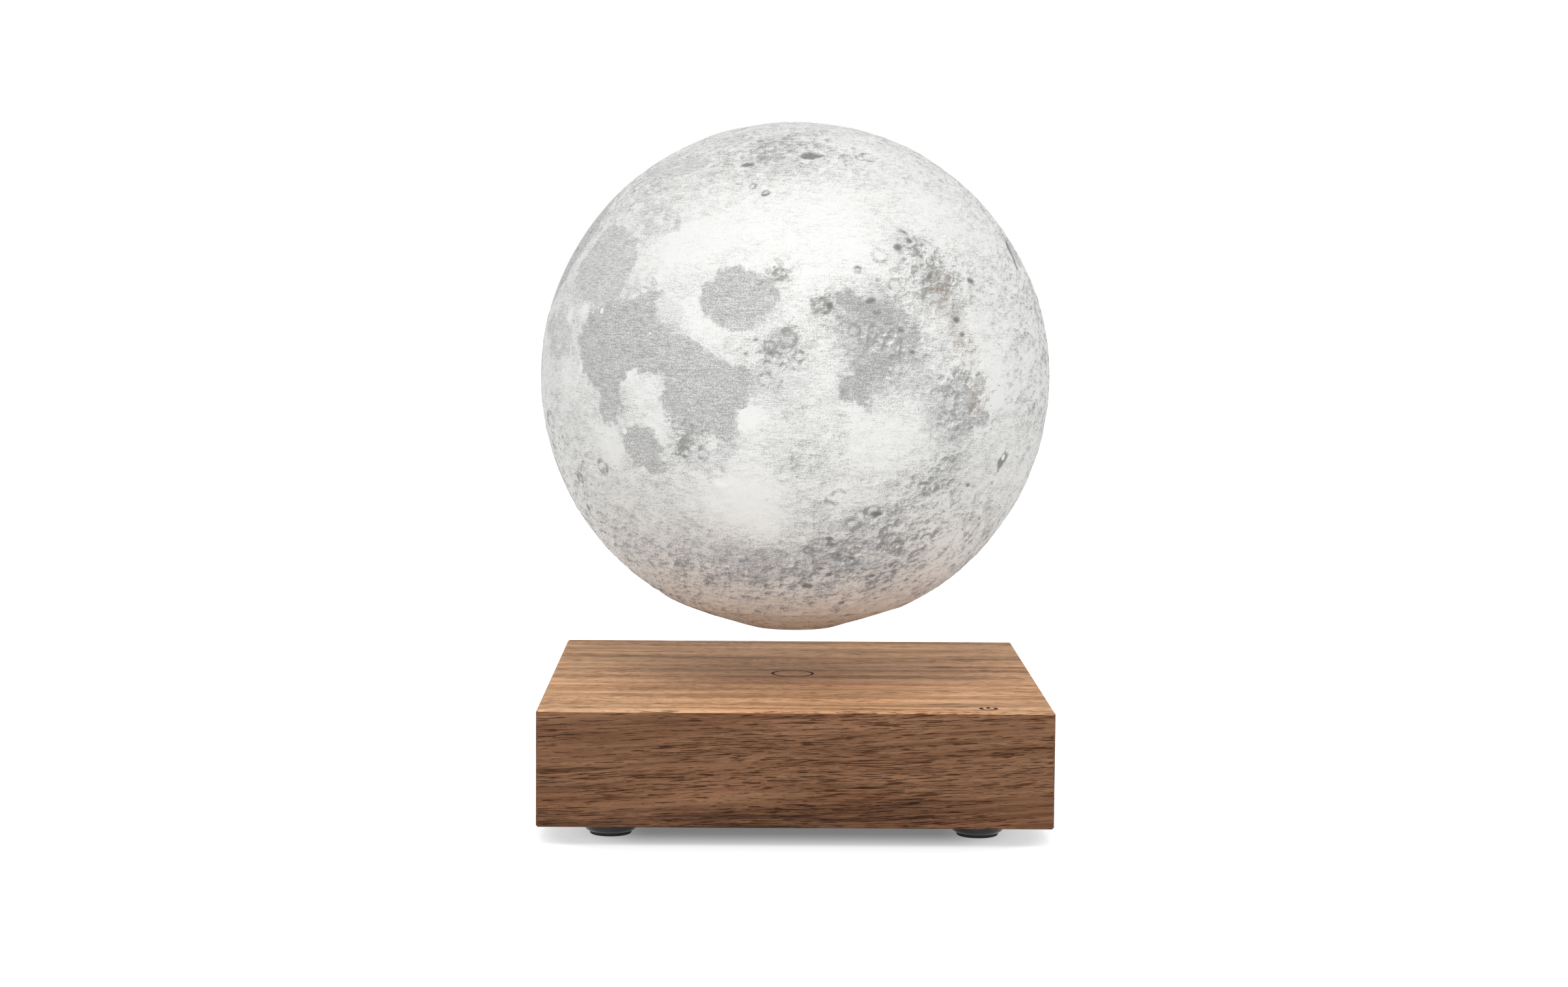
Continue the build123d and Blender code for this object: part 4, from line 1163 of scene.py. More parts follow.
SEAS = (
    Sea(SERENITY, 0.45),
    Sea(TRANQUILLITY, 0.59),
    Sea(NECTAR, 0.58),
    Sea(FERTILITY, 0.6),
    Sea(ROUND_SEA, 0.58),
    Sea(BORDER_SEA, 0.78, 0.8),
    Sea(
        ((94.4, 11.5), (96.9, 11.1), (97.6, 8), (98.7, 4.6), (97, 2.6), (95.4, 4.8), (94.2, 8.4)),
        0.64, 0.5,
    ),
    Sea(EASTERN_SEA, 0.74, 0.8),
    Sea(((29.4, 18.4), (33.4, 21.3), (37.8, 21.2), (40.8, 18.6), (37, 16.4), (31.6, 16)), 0.34, 0.1),
    Sea(
        ((40.5, 16.4), (43, 17.2), (45.6, 15.4), (47.2, 13.4), (47, 10.8), (42, 10.8), (40.2, 13.3)),
        0.13, 1.2,
    ),
    Sea(((44.2, 7.8), (50, 7.6), (50.6, 4.4), (46, 2), (43.6, 3)), 0.48),
    Sea(((54.2, -14.4), (58.6, -14.6), (57.2, -18.4), (54.6, -19.6), (53.6, -17.2)), 0.38, 0.5),
    Sea(
        ((48.6, -16.6), (53, -16.4), (56.2, -18.1), (55.6, -21.8), (51.4, -22.4), (48.4, -19.6)),
        0.34, 0.1,
    ),
    Sea(((63.2, 0.8), (67.8, 1.2), (71.4, -2.5), (70, -6.6), (66, -7.4), (62, -6.4)), 0.26, 0.2),
    Sea(((22.8, 38.6), (29.2, 41), (38.6, 38), (42.2, 33.4), (37.4, 31), (29, 32.6)), 0.4, 0),
    Sea(((-2, 14.6), (5.2, 15.6), (12.4, 11.6), (12.4, 6.4), (7.6, 4.6), (0, 6)), 0.42, 0.5),
    Sea(COLD_SEA, 0.4, 0.9),
    Sea(((34, 64), (44, 66), (52, 63.6), (45, 61.4)), 0.36, 0.4),
    Sea(oval(71.1, 51.2, 2.6, 1.8), 0.36, 0.2),
    Sea(oval(67.4, 5.6, 3.6, 2.2), 0.5, 0.15),
    Sea(oval(65.8, -1, 2.6, 1.7), 0.48, 0),
    Sea(oval(82, 7.6, 3.4, 1.9), 0.5, -0.2),
    Sea(oval(103.5, 13.6, 3.6, 2.6), 0.46, -0.3),
    Sea(oval(113.6, -5.4, 3.6, 3.4), 0.52, -0.2),
    Sea(oval(116.6, -10.4, 1.9, 1.7), 0.58, 0.3),
    Sea(oval(103.4, -8.6, 3.6, 2.8), 0.34, 0),
    Sea(oval(86.4, -34.6, 3.4, 1.6), 0.54, 0.1),
    Sea(WESTERN_COLD_SEA, 0.42, 0.8),
    Sea(SHOWERS, 0.56),
    Sea(STORMS, 0.54),
    Sea(ISLANDS, 0.46, 0.6),
    Sea(CLOUDS, 0.52, 1.6),
    Sea(MOISTURE, 0.6),
    Sea(oval(-26, 45.4, 3.6, 1.6), 0.56, 1),
    Sea(oval(-1.6, 12.4, 4.4, 2.4), 0.5, 1),
    Sea(oval(-25, -50, 3, 1.4, 20), 0.4, 0.2),
    Sea(oval(-93.5, -19, 4.4, 4.6), 0.5, 1.4),
    Sea(oval(-88, -12, 3, 6, 20), 0.4, -0.2),
    Sea(oval(146.5, 27, 3.6, 2.8), 0.5),
    Sea(oval(164, -34, 4.4, 3.6), 0.52, 1.2),
    Sea(oval(-160, -40, 5.6, 4), 0.42, 0.4),
    Sea(oval(-172, -54, 12, 9), 0.36, 0),
    Sea(oval(-129, 1, 3.4, 3), 0.4, 0),
)

# Middle, half width and half height of each dark spot, and how far some are turned
SPOT_OVALS = (
    (56.4, 51.9, 1.5, 0.7, 12), (64.4, 41.6, 1.2, 0.6, 20), (97.4, 26.9, 1, 0.9), (98.3, 24.1, 0.8, 0.5),
    (116.2, 19.2, 1.1, 0.6), (103.1, 24.8, 0.7, 0.7), (104, 20, 0.7, 0.6), (88.5, 14.6, 1.1, 0.8),
    (100, 30.9, 1.5, 0.5, -30), (101.1, 28.5, 0.8, 0.8), (103.1, 28.9, 0.5, 0.7),
    (105.6, 22.1, 1, 0.3, -8), (116.2, 19.3, 1.2, 0.5, -20), (86.5, 22, 0.8, 0.3),
    (86.3, 20.9, 0.9, 0.4), (85.1, 18.6, 0.4, 0.3), (89, 18.1, 0.5, 0.3), (90.7, 19, 0.4, 0.3),
    (77.8, 15.4, 0.6, 0.4), (75.6, 14.8, 0.7, 0.5), (79.4, 13.6, 0.5, 0.8), (77.9, 12.1, 1.5, 0.4, -12),
    (94.9, 8.1, 0.9, 0.6), (97.2, 3.6, 0.7, 0.6), (94.6, 15.5, 0.4, 0.3), (89.9, 12, 1, 0.6),
    (105.6, 28.9, 0.7, 0.3, -35), (92.1, -32.1, 1.8, 0.9), (80.1, -38, 0.7, 0.6),
    (80.7, -39.7, 1.3, 0.5), (78.7, -47, 0.8, 0.5), (81.3, -49, 1, 0.5), (74.5, -53, 1, 0.6),
    (103.5, -26.7, 0.6, 1.1, -15), (80, -28.7, 0.9, 0.3, -35), (88, -44.1, 0.8, 0.6),
    (91.2, -61.5, 1, 0.6), (103.1, -68.6, 1.3, 0.7), (85.2, -57.2, 1, 0.4), (105.7, -39, 0.9, 0.6),
    (117, -25.7, 0.6, 0.5), (124.5, -32.6, 0.6, 0.4), (129.4, -40.5, 0.7, 0.7), (109.3, 10.4, 1, 0.7),
    (110.3, 7.3, 0.7, 0.5), (61.4, 3.9, 0.5, 0.4), (63.6, 6.7, 0.7, 0.4), (66.7, 3.8, 0.7, 0.5),
    (72.8, 1.5, 0.4, 0.4), (75.6, 14.8, 0.6, 0.6), (79.6, 13.7, 0.6, 0.8), (78.2, 12.1, 1.2, 0.3, -12),
    (117, -25.5, 0.8, 0.5), (126.4, -25.3, 0.8, 0.5), (124.4, -32.5, 1, 0.5),
    (79.8, -28.9, 1.3, 0.4, -40), (80.2, -38.2, 1, 0.6), (78.8, -47, 1, 0.6), (74.8, -53.2, 1.4, 0.8),
    (97.3, -50.5, 0.8, 0.7), (95.8, -41, 0.6, 0.5), (83.6, -43.2, 0.7, 0.4), (90.9, -61.2, 1, 0.7),
    (26.7, -38.4, 0.9, 0.5), (20.9, -20.3, 1.1, 0.5), (46.2, -17.6, 0.7, 0.7), (-68.4, -5.4, 1.8, 2.6),
    (-63.6, -10.6, 0.5, 1), (7.6, -9, 0.5, 0.5), (-3.4, -13.4, 0.4, 0.5), (-9.5, 51.5, 1.2, 0.9),
    (164, -35, 1.6, 1.3), (-145, 36, 0.9, 0.9), (-118, -49, 1.1, 0.9), (175, 8, 0.9, 0.7),
)
DARK_SPOTS = (
    Sea(
        ((74.4, 54.6), (76.5, 56.3), (79.5, 57), (82, 56), (86, 55.2), (83.6, 54), (80, 53.2), (76, 53.4)),
    ),
    Sea(
        ((145.6, 31.8), (144, 31.2), (141.4, 28.4), (140.6, 25.4), (140.6, 22.4), (142.4, 23), (143.8, 27)),
    ),
    Sea(((125.6, -19.8), (127.8, -18), (129.6, -18.6), (129.4, -20.4), (127, -22.8), (126, -21.2))),
    *(Sea(oval(*numbers)) for numbers in SPOT_OVALS),
)

# Longitude, latitude and radius of each crater
CRATERS = tuple(starmap(Crater, (
    (92.2, 24.8, 1.9), (94.4, 17.9, 1.4), (84.4, 8.2, 1.4), (86.4, 21.5, 0.8), (78.1, 13.1, 1.5),
    (105.1, 23.3, 1.1), (101.2, 25.8, 1.2), (81.5, -27.3, 1.7), (102.5, -26, 1.4), (86.1, -34.3, 1.4),
    (88.8, -35.8, 1), (100.3, -41.2, 1.6), (95.7, -41.1, 0.7), (97.6, -50.7, 0.8), (103.1, -50.8, 1.4),
    (74.4, -41.3, 1.1), (86.3, -43, 0.9), (67.8, 6.6, 1.2), (70.4, 6.1, 1.6), (71.9, 8.5, 1),
    (68, 3.1, 1), (72.6, 3, 1), (45.1, -10.8, 1), (47.5, -11.7, 0.9), (43, -9.5, 0.8),
    (51.8, -12.7, 0.9), (57, 51.7, 1.1), (56, 45.7, 0.9), (60.2, 44.1, 0.9), (64.4, 41.8, 0.9),
    (20, -19.7, 1), (64.1, 19, 0.8), (67.4, 17, 0.8), (49.6, 23.3, 0.8), (77.6, 12.6, 0.8),
    (37.1, 18.1, 0.8), (38.8, 20, 0.8), (77.4, 13.6, 1.9), (94.9, 18.1, 1.3), (117.4, -10.2, 1.2),
    (103.3, -26.2, 1.7), (79.9, -28.2, 1.5), (90.4, -31.4, 1.9), (85.9, -34.4, 1.8), (96, -41, 1.2),
    (100.4, -41.2, 2), (97.3, -50.5, 1.4), (103, -50.8, 2.3), (83.8, -43, 1.7), (88.9, -35.7, 1.2),
    (102.4, 54.6, 2), (98.6, 54.2, 1.2), (70.4, 7, 2), (66.6, 5.4, 1.6), (72.6, 3, 1.3),
    (65.4, -1.6, 1.5), (69, 20.9, 1.5), (47.6, -11.4, 1.8), (46.4, -16.4, 1.3), (50.8, -17, 1.4),
    (110, -39, 1.6), (128, -38.6, 1.7), (20.9, -19.6, 1.8), (8.5, -22, 1.5), (132, 8, 2), (137, -8, 1.8),
    (-11, -43, 2.6), (-14.4, -58.4, 4.2), (-2, -9.2, 2.8), (-3, -13.6, 2), (-2.2, -18.4, 1.8),
    (-38, 8.1, 1.2), (-47.5, 23.7, 1.3), (-11.3, 14.5, 1.4), (-4, 29.7, 1.6), (1.3, 33.9, 1.2),
    (-40, -17.4, 2), (-22.4, -30.6, 1.6), (6, -31, 2.4), (-2.6, -32.6, 2.2), (-51, 8, 1.1),
    (-54.6, -44, 3.2), (-20, 9.6, 2), (-68, 40, 2.2), (-104, 25, 2.6), (-157, 6, 3), (-133, -32, 3.2),
    (178, -15, 2.8), (-128, 48, 2.4), (160, 48, 2.6), (-70, -44, 2.4), (-50, -50, 2.8),
)))

# Longitude, latitude, radius and amount of each patch of light or grey; the lifts near the south pole and
# at the two limbs are painted light
BRIGHT_CRATERS = (
    (62, -9.3, 2.6, 2.6), (17.2, 14.9, 1.2, 3), (10.5, 13.7, 1.2, 3), (24.1, 14.3, 0.8, 3),
    (18.4, 1.9, 0.7, 3), (39.3, 8.7, 0.6, 2.4), (34.3, 0.2, 1, 2.4), (31.4, -11.8, 0.8, 2.6),
    (91.2, -1.5, 0.6, 2.6), (127.8, -19.4, 0.7, 2.6),
)
BRIGHT_LANDS = (
    (42, 27, 9, 1.3), (56, 31, 10, 0.9), (72, 30, 11, 0.9), (87, 34, 11, 0.75), (49.4, 14, 3, 1.2),
    (52.5, 8.6, 3.2, 1.2), (74.6, 18, 4.6, 1.1), (86, 27, 5, 0.8), (41, -10.2, 3.4, 1.3),
    (25.6, -15.6, 4.4, 1.4), (12, 0, 4.6, 0.9), (37.5, -3, 4, 0.5), (118.6, 1, 4.6, 1.6),
    (120.6, -5.6, 4.2, 1.3), (116.6, 9.6, 3.6, 1), (112, 38, 9, 0.7), (88, -13, 8, 1), (99, -17, 7, 0.8),
    (62, -29, 8, 2), (53, -27, 6, 1), (64, -35, 4, 0.9), (82, -27, 3.2, 0.9), (113, -36, 5, 0.7),
    (102, 8, 4, 0.6),
)
WIDE_LANDS_AND_PAINTED_LIFTS = (
    (40, 66, 18, -0.2), (76, 63, 14, -0.1), (102, 62, 13, 0.4), (5, 50, 12, 0.1), (68, 52, 8, -0.4),
    # Painted light: (-6, 2) and (0, -20) whiten the print at the left limb, where the globe's edge falls
    # into shade
    (-4, 24, 9, 0), (-6, 2, 10, 0.4), (0, -20, 11, 0.6), (-2, 42, 11, -0.2), (11, 20, 3, -0.7),
    (93, -44, 12, -0.8), (106, -42, 9, -0.2), (62, -47, 14, -1.1), (36, -44, 12, -0.5),
    # Painted light: the patches on the next line whiten the print near the south pole, where the globe's
    # underside falls into shade
    (122, -44, 11, 0.8), (76, -62, 15, 0.7), (30, -58, 16, 0.8), (122, -62, 16, 0.8),
)
GREY_LANDS = (
    (89, 6, 9, -0.8), (90, 11, 5, -1), (88, -3.6, 4.4, -1), (93, 5, 3.6, -0.8), (106, 14, 5, -0.5),
    (112, -4, 4.6, -0.4), (70, -19, 7, -0.45), (68, -3, 5, -0.5), (78, -20, 6, -0.25),
    (104, 19, 6, -0.6), (101, 29, 3.6, -0.6), (109, -8, 7, -0.8), (112.5, -5, 3.2, -0.6),
    (109.5, -14, 3.4, -0.5), (103, -11, 5, -0.45), (99, -2, 4.6, -0.5), (107, -24, 7, -0.6),
    (97, 6, 4.6, -0.7), (85, 6, 5, -0.5), (109, 9, 4, -0.6), (67.4, 4.6, 3.2, -0.9),
    (71.4, 6, 2.4, -0.6), (65.4, -1.2, 2.6, -0.8), (78, 13.6, 2.8, -0.7), (69.4, 20.6, 2.6, -0.8),
    (47, -15.6, 3.6, -0.8), (48, 21, 4, -0.5), (60, 24.6, 3.6, -0.3),
)
OTHER_SIDES_AND_PAINTED_LIFTS = (
    # Painted light: the first three patches whiten the print at the right limb, where the globe's edge
    # falls into shade
    (137, 4, 13, 0.9), (140, -24, 12, 0.7), (132, 30, 12, 0.7), (-110, 0, 20, 0.4), (-150, 20, 22, 0.4),
    (-140, -30, 16, -0.5), (-80, 60, 16, -0.5), (170, -60, 20, -0.7), (-60, -62, 20, -0.6),
    (-11, -43, 9, 1), (-20, 9.6, 3.2, 1.9), (-38, 8.1, 2, 2), (-47.5, 23.7, 2, 2.6), (-11, -43, 3, 0.8),
    (-22, -36, 6, 0.7), (2, -34, 6, 0.6), (-6, 26, 2, 0.8), (0, 38, 2, 0.8), (8, -38, 12, -0.5),
    (-30, -50, 12, -0.4), (-58, -30, 12, -0.4),
)
# The shade field joins the print's tones with the painted lifts
SHADE_TABLES = (BRIGHT_CRATERS, BRIGHT_LANDS, WIDE_LANDS_AND_PAINTED_LIFTS, GREY_LANDS, OTHER_SIDES_AND_PAINTED_LIFTS)
SHADES = tuple(starmap(Shade, chain(*SHADE_TABLES)))

# The last patch, at the south pole, is painted: a cool tint against the walnut's warm bounce light on the
# globe's underside
WARM_PATCHES = tuple(starmap(Shade, (
    (106.5, 17, 4, 0.6), (103.6, 12.6, 3, 0.6), (110, 8.6, 3.4, 0.8), (111.4, 4, 3, 0.9),
    (118.5, 6.8, 1.6, 0.8), (114.4, -5.4, 4, 1.1), (85, -90, 46, -1.1),
)))

SCARRED_LANDS = tuple(starmap(Shade, (
    (94, -43, 14, 0.9), (62, -47, 13, 0.35), (35, -45, 13, 0.3), (120, -42, 12, 0.8),
    (78, -62, 17, 0.35), (68, 3, 5.5, 1), (78, 14, 3.5, 0.8), (69, 21, 4, 0.9), (47, -15.5, 4, 0.9),
    (104, 21, 8, 1), (110, -6, 8, 1), (91, 6, 9, 0.9), (72, -20, 8, 0.4), (106, -25, 8, 0.7),
    (45, 60, 18, 0.45), (84, 58, 15, 0.4), (5, 45, 15, 0.5), (135, 0, 22, 0.45), (2, -20, 14, 0.5),
    (-150, 0, 45, 0.8), (165, 35, 35, 0.8), (170, -50, 30, 0.8), (-15, -55, 30, 1), (-90, -50, 30, 0.8),
    (-95, 40, 30, 0.7),
)))


@dataclass(frozen=True)
class MoonChart:
    """Where the moon's features lie on the globe, which shows its eastern side to the front.

    Every angle is in degrees. What lies farther out than far counts as out of reach.
    """

    front_longitude: float = 72.44
    nod: float = -4.02
    lean: float = -1.54
    far: float = -8.0
    tone_reach: float = 3.0
    tone_pull: float = 1.6
    crater_reach: float = 2.0

    def frame_at(self, longitude: float, latitude: float) -> tuple[Array, Array, Array]:
        """Finds a point of the moon's face on the globe.

        Args:
            longitude: The point's longitude.
            latitude: The point's latitude.

        Returns:
            The point and its east and north directions, as seen from the globe's centre.
        """
        east_turn = math.radians(longitude - self.front_longitude)
        rise = math.radians(latitude)
        sine, cosine = math.sin(east_turn), math.cos(east_turn)
        out = (math.cos(rise) * sine, -math.cos(rise) * cosine, math.sin(rise))
        east = (cosine, sine, 0.0)
        north = (-math.sin(rise) * sine, math.sin(rise) * cosine, math.cos(rise))
        lean = Matrix.Rotation(math.radians(self.lean), 3, "Y")
        tilt = lean @ Matrix.Rotation(math.radians(self.nod), 3, "X")
        return tuple(np.array(tilt @ Vector(axis)) for axis in (out, east, north))

    def offsets(self, directions: Array, longitude: float, latitude: float) -> Array:
        """Measures how far each direction lies from a point, along the face.

        Args:
            directions: Seen from the globe's centre.
            longitude: The point's longitude.
            latitude: The point's latitude.

        Returns:
            How far east and how far north of the point each direction lies.
        """
        out, east, north = self.frame_at(longitude, latitude)
        reach = np.arccos(np.clip(directions @ out, -1.0, 1.0))
        scale = np.degrees(reach) / np.maximum(np.sin(reach), 1e-6)
        return np.stack([directions @ east * scale, directions @ north * scale], axis=1)

    def depth(self, directions: Array, plain: Sea) -> Array:
        """Measures how far inside a plain each direction lies.

        Args:
            directions: Seen from the globe's centre.
            plain: The plain.

        Returns:
            The distance to its shore, below 0 outside it.
        """
        middle = np.mean(plain.outline, axis=0)
        shore = np.array([self.frame_at(*corner)[0] for corner in plain.outline])
        corners = self.offsets(shore, *middle)
        reach = np.max(np.hypot(corners[:, 0], corners[:, 1])) - self.far
        out = self.frame_at(*middle)[0]
        near = directions @ out > math.cos(math.radians(reach))
        points = self.offsets(directions[near], *middle)
        closest = np.full(len(points), np.inf)
        within = np.zeros(len(points), bool)
        for start, end in zip(corners, np.roll(corners, -1, axis=0)):
            run = end - start
            share = np.clip((points - start) @ run / (run @ run), 0.0, 1.0)
            closest = np.minimum(closest, np.linalg.norm(points - start - share[:, None] * run, axis=1))
            level = (start[1] > points[:, 1]) != (end[1] > points[:, 1])
            crossing = start[0] + (points[:, 1] - start[1]) / (run[1] or 1.0) * run[0]
            within ^= level & (points[:, 0] < crossing)
        depth = np.full(len(directions), self.far)
        depth[near] = np.clip(np.where(within, closest, -closest), self.far, plain.cover)
        return depth

    def plains(self, directions: Array, plains: tuple[Sea, ...]) -> tuple[Array, Array]:
        """Joins plains into one map.

        Args:
            directions: Seen from the globe's centre.
            plains: The plains.

        Returns:
            How far inside the nearest plain each direction lies, and that plain's tone.
        """
        deepest = np.full(len(directions), self.far)
        tone = np.zeros(len(directions))
        weight = np.full(len(directions), 1e-6)
        for plain in plains:
            depth = self.depth(directions, plain)
            deepest = np.maximum(deepest, depth)
            pull = np.exp(np.clip(depth, self.far, self.tone_reach) * self.tone_pull)
            tone += pull * plain.tone
            weight += pull
        return deepest, tone / weight

    def nearest_crater(self, directions: Array) -> Array:
        """Measures the distance to the nearest crater.

        Args:
            directions: Seen from the globe's centre.

        Returns:
            The distance in shares of that crater's radius.
        """
        share = np.full(len(directions), self.crater_reach)
        for crater in CRATERS:
            offset = self.offsets(directions, crater.longitude, crater.latitude)
            share = np.minimum(share, np.hypot(offset[:, 0], offset[:, 1]) / crater.radius)
        return share

    def blended(self, directions: Array, patches: tuple[Shade, ...]) -> Array:
        """Sums patches, each of which fades out from its middle.

        Args:
            directions: Seen from the globe's centre.
            patches: The patches.

        Returns:
            The sum at each direction.
        """
        total = np.zeros(len(directions))
        for patch in patches:
            offset = self.offsets(directions, patch.longitude, patch.latitude)
            total += patch.amount * np.exp(-np.sum(offset**2, axis=1) / patch.radius**2)
        return total

    def fields(self, directions: Array) -> dict[MoonField, Array]:
        """Reads every field of the moon's skin.

        Args:
            directions: Seen from the globe's centre.

        Returns:
            Each field at each direction.
        """
        sea, tone = self.plains(directions, SEAS)
        return {
            MoonField.SEA: sea,
            MoonField.TONE: tone,
            MoonField.SPOT: self.plains(directions, DARK_SPOTS)[0],
            MoonField.CRATER: self.nearest_crater(directions),
            MoonField.SHADE: np.clip(self.blended(directions, SHADES), -2.0, 3.0),
            MoonField.WARMTH: np.clip(self.blended(directions, WARM_PATCHES), -1.0, 1.0),
            MoonField.SCARS: np.clip(self.blended(directions, SCARRED_LANDS), 0.0, 1.0),
        }


# Mean distance in millimetres, share of the depth, and seed of each size of scattered crater
CRATER_SIZES = ((19.0, 1.0, 1.0), (11.0, 0.62, 2.0), (6.4, 0.36, 4.0), (3.9, 0.2, 6.0))


def relief_tree() -> Tree:
    """Builds the Geometry Nodes that press craters into the moon's skin, along lines from its centre.

    Returns:
        The node tree.
    """
    inputs = {
        "Geometry": GEOMETRY,
        "Centre Height": FLOAT,
        "Radius": FLOAT,
        "Crater Depth": FLOAT,
        "Roughness": FLOAT,
        "Unevenness": FLOAT,
        "Material": MATERIAL,
    }
    outputs = {"Geometry": GEOMETRY}
    nodes, given, out = new_group("moon relief", "GeometryNodeTree", inputs, outputs)
    centre = nodes.add("ShaderNodeCombineXYZ", {2: given["Centre Height"]}).outputs[0]
    position = nodes.add("GeometryNodeInputPosition").outputs[0]
    direction = nodes.vector("NORMALIZE", nodes.vector("SUBTRACT", position, centre))
    scale = nodes.times(given["Radius"], PER_METRE)
    place = nodes.scaled(direction, scale)

    def skin(name: str) -> Socket:
        """Returns a named number of the skin."""
        return nodes.add("GeometryNodeInputNamedAttribute", {"Name": name}, data_type="FLOAT").outputs[0]

    # Scattered craters, shallow in the seas, with the placed ones and the dark spots
    plain = nodes.span(skin(MoonField.SEA.value), -1.5, 1.0)
    craters = 0.0
    for cell, share, seed in CRATER_SIZES:
        craters = nodes.times_plus(crater_field(nodes, place, cell, seed), share, craters)
    craters = nodes.times(craters, nodes.span(plain, 0.0, 1.0, 1.0, 0.15))
    placed = nodes.curve(nodes.times(skin(MoonField.CRATER.value), 0.5), CRATER_PROFILE)
    craters = nodes.math("ADD", craters, nodes.math("SUBTRACT", placed, GROUND_LEVEL))
    spots = nodes.span(skin(MoonField.SPOT.value), -0.5, 0.6, 0.0, -0.6)
    height = nodes.times(craters, given["Crater Depth"])
    height = nodes.times_plus(spots, given["Crater Depth"], height)

    rough = nodes.math("SUBTRACT", nodes.noise(place, (3.2, 3.2, 2.4), detail=4.0, rough=0.65), 0.5)
    rough = nodes.times(rough, nodes.span(plain, 0.0, 1.0, 1.0, 0.25))
    height = nodes.times_plus(rough, given["Roughness"], height)
    slow = nodes.math("SUBTRACT", nodes.noise(place, (60.0, 60.0, 60.0), detail=1.0), 0.5)
    height = nodes.times_plus(slow, given["Unevenness"], height)
    height = nodes.times(height, skin(FADE))
    inputs = {"Geometry": given["Geometry"], "Offset": nodes.scaled(direction, height)}
    moved = nodes.add("GeometryNodeSetPosition", inputs).outputs[0]
    real = nodes.add("GeometryNodeRealizeInstances", {0: moved}).outputs[0]
    dressed = nodes.add("GeometryNodeSetMaterial", {0: real, "Material": given["Material"]}).outputs[0]
    nodes.feed(out["Geometry"], dressed)
    return nodes.tree


@dataclass(frozen=True)
class PressedSkin:
    """A skin with its relief: its rings, points, normals and fields."""

    rings: RingSkin
    points: Array
    normals: Array
    fields: dict[str, Array]


